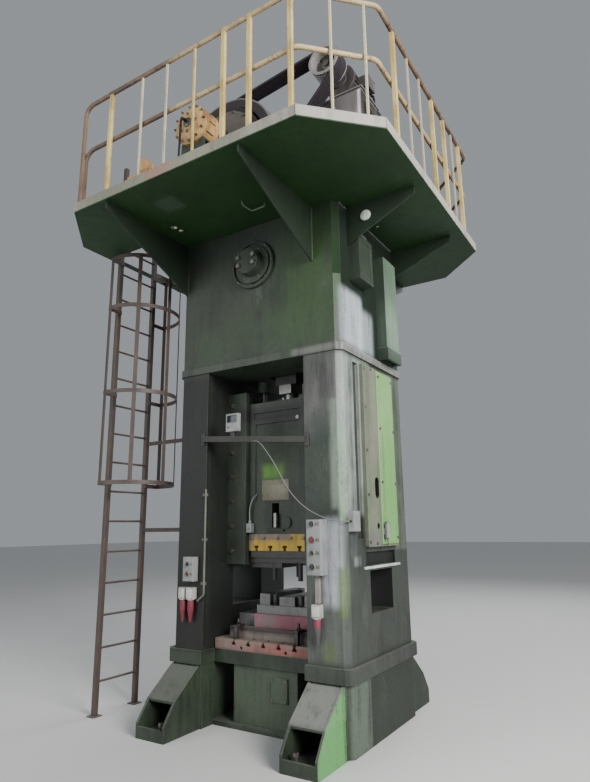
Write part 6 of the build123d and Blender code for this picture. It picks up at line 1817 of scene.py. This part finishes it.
@dataclass
class Controls(Assembly):
    """Control boxes, buttons, sockets and small boxes."""

    smooth_nodes = {
        "black_plastic": ("button_start", "button_inch", "button_select", "button_left_upper"),
        "red_plastic": ("button_stop", "button_left_lower"),
        "box_grey": ("control_boxes", "small_boxes"),
        "socket_mixed": ("power_sockets",),
    }

    panels: tuple[Panel, ...] = (
        Panel((0.603, 0.733), -0.76, (1.29, 1.716), 0.657, -0.768,
              ((1.682, 0.024), (1.559, 0.027), (1.46, 0.019), (1.355, 0.024)), (0.690, 0.722),
              0.012),
        Panel((-0.731, -0.609), -0.72, (1.198, 1.409), -0.67, -0.727,
              ((1.348, 0.0205), (1.263, 0.0205)), (-0.643, -0.617), 0.010),
    )
    sunk: float = 0.0005
    screw_inset: float = 0.013
    lid_low: Point = (0.9455, -0.596, 1.624)
    lid_high: Point = (0.951, -0.484, 1.776)
    lid_inset: float = 0.008

    bezel_wire: float = 0.0022
    legend_thickness: float = 0.003

    sockets: tuple[Pair, ...] = ((-0.745, 1.085), (-0.655, 1.085), (0.648, 1.01))
    window_low: Point = (-0.262, -0.6975, 2.60)
    window_high: Point = (-0.156, -0.6935, 2.664)
    knob_place: Point = (-0.245, -0.6935, 2.555)
    oiler_place: Pair = (0.978, -0.014)
    gland_place: Point = (0.923, -0.5995, 1.699)
    clip_place: Point = (0.012, -0.687, 2.407)

    def steps(self) -> Steps:
        """The trim of the boxes, buttons, sockets, sensor, oiler and wire."""
        return (self.box_trim, self.button_rings, self.legends, self.socket_trim, self.sensor_lens,
                self.oiler_trim, self.wire_clips)

    def box_trim(self) -> None:
        """Corner screws of the control boxes and the junction box's lid."""
        shape = Shape()
        for panel in self.panels:
            (x0, x1), (z0, z1) = panel.across, panel.heights
            for x in (x0 + self.screw_inset, x1 - self.screw_inset):
                for z in (z0 + self.screw_inset, z1 - self.screw_inset):
                    place = (x, panel.face + self.sunk, z)
                    shape.stub(place, Facing.FRONT, 0.0035, 0.005, sides=16, bevel=0.001)
        (_, y0, z0), (face, y1, z1) = self.lid_low, self.lid_high
        shape.box(self.lid_low, self.lid_high, 0.002)
        for y in (y0 + self.lid_inset, y1 - self.lid_inset):
            for z in (z0 + self.lid_inset, z1 - self.lid_inset):
                shape.stub((face - self.sunk, y, z), Facing.RIGHT, 0.0035, 0.004, sides=12)
        self.add(shape, "box_trim", "box_grey", "box_grey")

    def button_rings(self) -> None:
        """Bezel rings round the push buttons."""
        shape = Shape()
        for panel in self.panels:
            for z, radius in panel.buttons:
                place = (panel.button_x, panel.button_y, z)
                shape.ring(place, Facing.FRONT, radius - 0.002, self.bezel_wire, 32, 8)
        self.add(shape, "button_rings", "turned_steel", "box_grey")

    def legends(self) -> None:
        """Bare legend plates beside the buttons."""
        shape = Shape()
        for panel in self.panels:
            (x0, x1), half, back = panel.legend_across, panel.legend_half, panel.face + self.sunk
            for z, _ in panel.buttons:
                low = (x0, back - self.legend_thickness, z - half)
                shape.box(low, (x1, back, z + half), 0.0006)
        self.add(shape, "legend_plates", "plate_metal", "box_grey")

    def socket_trim(self) -> None:
        """Collars where the plugs enter their sockets, and the sockets' lids."""
        shape = Shape()
        for x, z in self.sockets:
            shape.ring((x, -0.686, z - 0.043), Facing.UP, 0.028, 0.005, 28, 8)
            shape.box((x - 0.033, -0.717, z - 0.030), (x + 0.033, -0.7115, z + 0.052), 0.002)
            hinge = (x - 0.026, -0.716, z + 0.052)
            shape.stub(hinge, Facing.RIGHT, 0.052, 0.004, sides=12)
        self.add(shape, "socket_trim", "socket_white", "plug_red")

    def sensor_lens(self) -> None:
        """Dark window of the sensor on the cross bar, and the knob under it."""
        shape = Shape().box(self.window_low, self.window_high, 0.001)
        shape.stub(self.knob_place, Facing.FRONT, 0.0055, 0.008, sides=20, bevel=0.001)
        self.add(shape, "sensor_window", "glass_dark", "box_grey")

    def oiler_trim(self) -> None:
        """Cap, drain and pipe of the oiler on the side cover."""
        x, y = self.oiler_place
        shape = Shape().stub((x, y, 1.679), Facing.UP, 0.021, 0.018, 0.014, 24, 0.002)
        shape.bar((x, y, 1.561), (x, y, 1.545), 0.008, sides=6)
        drain = [(x, y, 1.55), (x, y, 1.52), (x - 0.01, y + 0.03, 1.50), (0.947, y + 0.05, 1.50)]
        shape.pipe(drain, 0.004, 8, 0.015)
        self.add(shape, "oiler_trim", "bolt_steel", "box_grey")

    def wire_clips(self) -> None:
        """Gland at the junction box and clip at the cross bar for the sensor's wire."""
        x, y, z = self.gland_place
        nut = 0.0125
        shape = Shape().stub(self.gland_place, Facing.FRONT, nut, 0.010, sides=6)
        shape.stub((x, y - nut, z), Facing.FRONT, 0.010, 0.0075, 0.006, 16)
        shape.ring(self.clip_place, Facing.RIGHT, 0.0055, 0.002, 20, 6)
        self.add(shape, "wire_clips", "black_plastic", "wire_black")


@dataclass
class SensorWire(Assembly):
    """Thin cable from the cross bar to the junction box."""

    radius: float = 0.004
    length: float = 1.265
    points: Track = (
        (0.020, -0.687, 2.407), (0.060, -0.687, 2.407), (0.108, -0.699, 2.384),
        (0.152, -0.710, 2.343), (0.197, -0.718, 2.292), (0.250, -0.724, 2.228),
        (0.300, -0.728, 2.155), (0.348, -0.729, 2.075), (0.398, -0.729, 1.996),
        (0.455, -0.728, 1.922), (0.520, -0.726, 1.858), (0.590, -0.722, 1.804),
        (0.665, -0.717, 1.762), (0.740, -0.710, 1.731), (0.795, -0.703, 1.715),
        (0.845, -0.692, 1.704), (0.889, -0.672, 1.700), (0.923, -0.643, 1.699),
        (0.923, -0.600, 1.699),
    )

    def steps(self) -> Steps:
        """The method that lays the cable."""
        return (self.lay,)

    def lay(self) -> None:
        """Lays the cable as one smooth spline."""
        curve = new_curve("sensor_cable", "NURBS", self.points, self.radius)
        curve.bevel_resolution = 3
        curve.resolution_u = 8
        spline = curve.splines[0]
        spline.order_u = 3
        spline.use_endpoint_u = True
        curve.materials.append(self.palette["wire_grey"])
        cable = bpy.data.objects.new("sensor_cable", curve)
        bpy.context.scene.collection.objects.link(cable)
        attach(cable, "frame")
        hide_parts("sensor_wire")
        self.made.append(cable)


# ---------------------------------------------------------------- stage


@dataclass(frozen=True)
class Lamp:
    """One soft area light, aimed at the middle of the press."""

    name: str
    place: Point
    power: float
    size: float
    tone: Colour


@dataclass
class Studio:
    """Camera, floor and lights."""

    focal_px: float = 586.8335
    frame_px: tuple[int, int] = (590, 782)
    pitch: float = 13.157946635
    yaw: float = 31.990297206
    roll: float = -0.696590354
    place: Point = (3.0806038, -4.8654482, 1.6508251)
    sensor: float = 36.0
    clip: Pair = (0.05, 200.0)
    floor_size: float = 60.0
    floor_tones: tuple[Colour, Colour] = ((0.60, 0.60, 0.59), (0.66, 0.66, 0.65))
    sky: tuple[float, ...] = (0.90, 0.95, 1.0, 1.0)
    sky_strength: float = 0.34
    aim: Point = (0.0, 0.0, 2.6)
    lamps: tuple[Lamp, ...] = (
        Lamp("key", (8.5, -4.0, 5.5), 1450.0, 4.0, (1.0, 0.98, 0.96)),
        Lamp("fill", (-4.0, -9.0, 4.0), 400.0, 6.0, (0.94, 0.97, 1.0)),
        Lamp("back", (1.0, 9.0, 9.0), 600.0, 6.0, (1.0, 1.0, 1.0)),
    )

    def camera(self) -> None:
        """Sets the camera where the photograph was taken."""
        data = bpy.data.cameras.new("camera")
        data.sensor_width = self.sensor
        data.sensor_fit = "AUTO"
        data.lens = self.focal_px * self.sensor / max(self.frame_px)
        data.clip_start, data.clip_end = self.clip
        pitch, yaw, roll = (math.radians(v) for v in (self.pitch, self.yaw, self.roll))
        level = Vector((-math.sin(yaw), math.cos(yaw), 0.0)) * math.cos(pitch)
        ahead = level + Vector((0.0, 0.0, math.sin(pitch)))
        side = Vector((math.cos(yaw), math.sin(yaw), 0.0))
        top = side.cross(ahead)
        right = side * math.cos(roll) + top * math.sin(roll)
        up = top * math.cos(roll) - side * math.sin(roll)
        turn = Matrix((right, up, -ahead)).transposed()
        made = bpy.data.objects.new("camera", data)
        made.matrix_world = Matrix.Translation(self.place) @ turn.to_4x4()
        bpy.context.scene.collection.objects.link(made)
        bpy.context.scene.camera = made

    def floor(self) -> None:
        """Lays a wide pale floor."""
        bm = bmesh.new()
        bmesh.ops.create_grid(bm, x_segments=2, y_segments=2, size=self.floor_size)
        mesh = bpy.data.meshes.new("floor")
        bm.to_mesh(mesh)
        bm.free()
        g = Graph("floor_pale")
        cloud = g.noise(0.8, 4.0)
        mesh.materials.append(g.close(g.mix(cloud, *self.floor_tones), cloud * 0.1 + 0.75))
        made = bpy.data.objects.new("floor", mesh)
        bpy.context.scene.collection.objects.link(made)

    def lights(self) -> None:
        """Sets soft lights and a pale sky."""
        world = bpy.data.worlds.new("studio")
        world.use_nodes = True
        back = world.node_tree.nodes["Background"]
        back.inputs[0].default_value = self.sky
        back.inputs[1].default_value = self.sky_strength
        bpy.context.scene.world = world
        for lamp in self.lamps:
            data = bpy.data.lights.new(lamp.name, "AREA")
            data.energy, data.size, data.color = lamp.power, lamp.size, lamp.tone
            made = bpy.data.objects.new(lamp.name, data)
            made.location = lamp.place
            ray = Vector(self.aim) - Vector(lamp.place)
            made.rotation_euler = ray.to_track_quat("-Z", "Y").to_euler()
            bpy.context.scene.collection.objects.link(made)

    def build(self) -> None:
        """Sets up camera, floor and lights."""
        self.camera()
        self.floor()
        self.lights()


def main() -> None:
    """Builds the studio and every sub-assembly, and reports each piece."""
    logging.basicConfig(level=logging.INFO, format="%(name)s: %(message)s")
    Studio().build()
    palette = Palette()
    for kind in (SensorWire, FrameCastings, SlideTrain, TopDrive, Platform, Controls):
        for piece in kind(palette).build():
            LOG.info("%s: %s", kind.__name__, piece.name)
    bpy.context.view_layer.update()


if __name__ == "__main__":
    main()
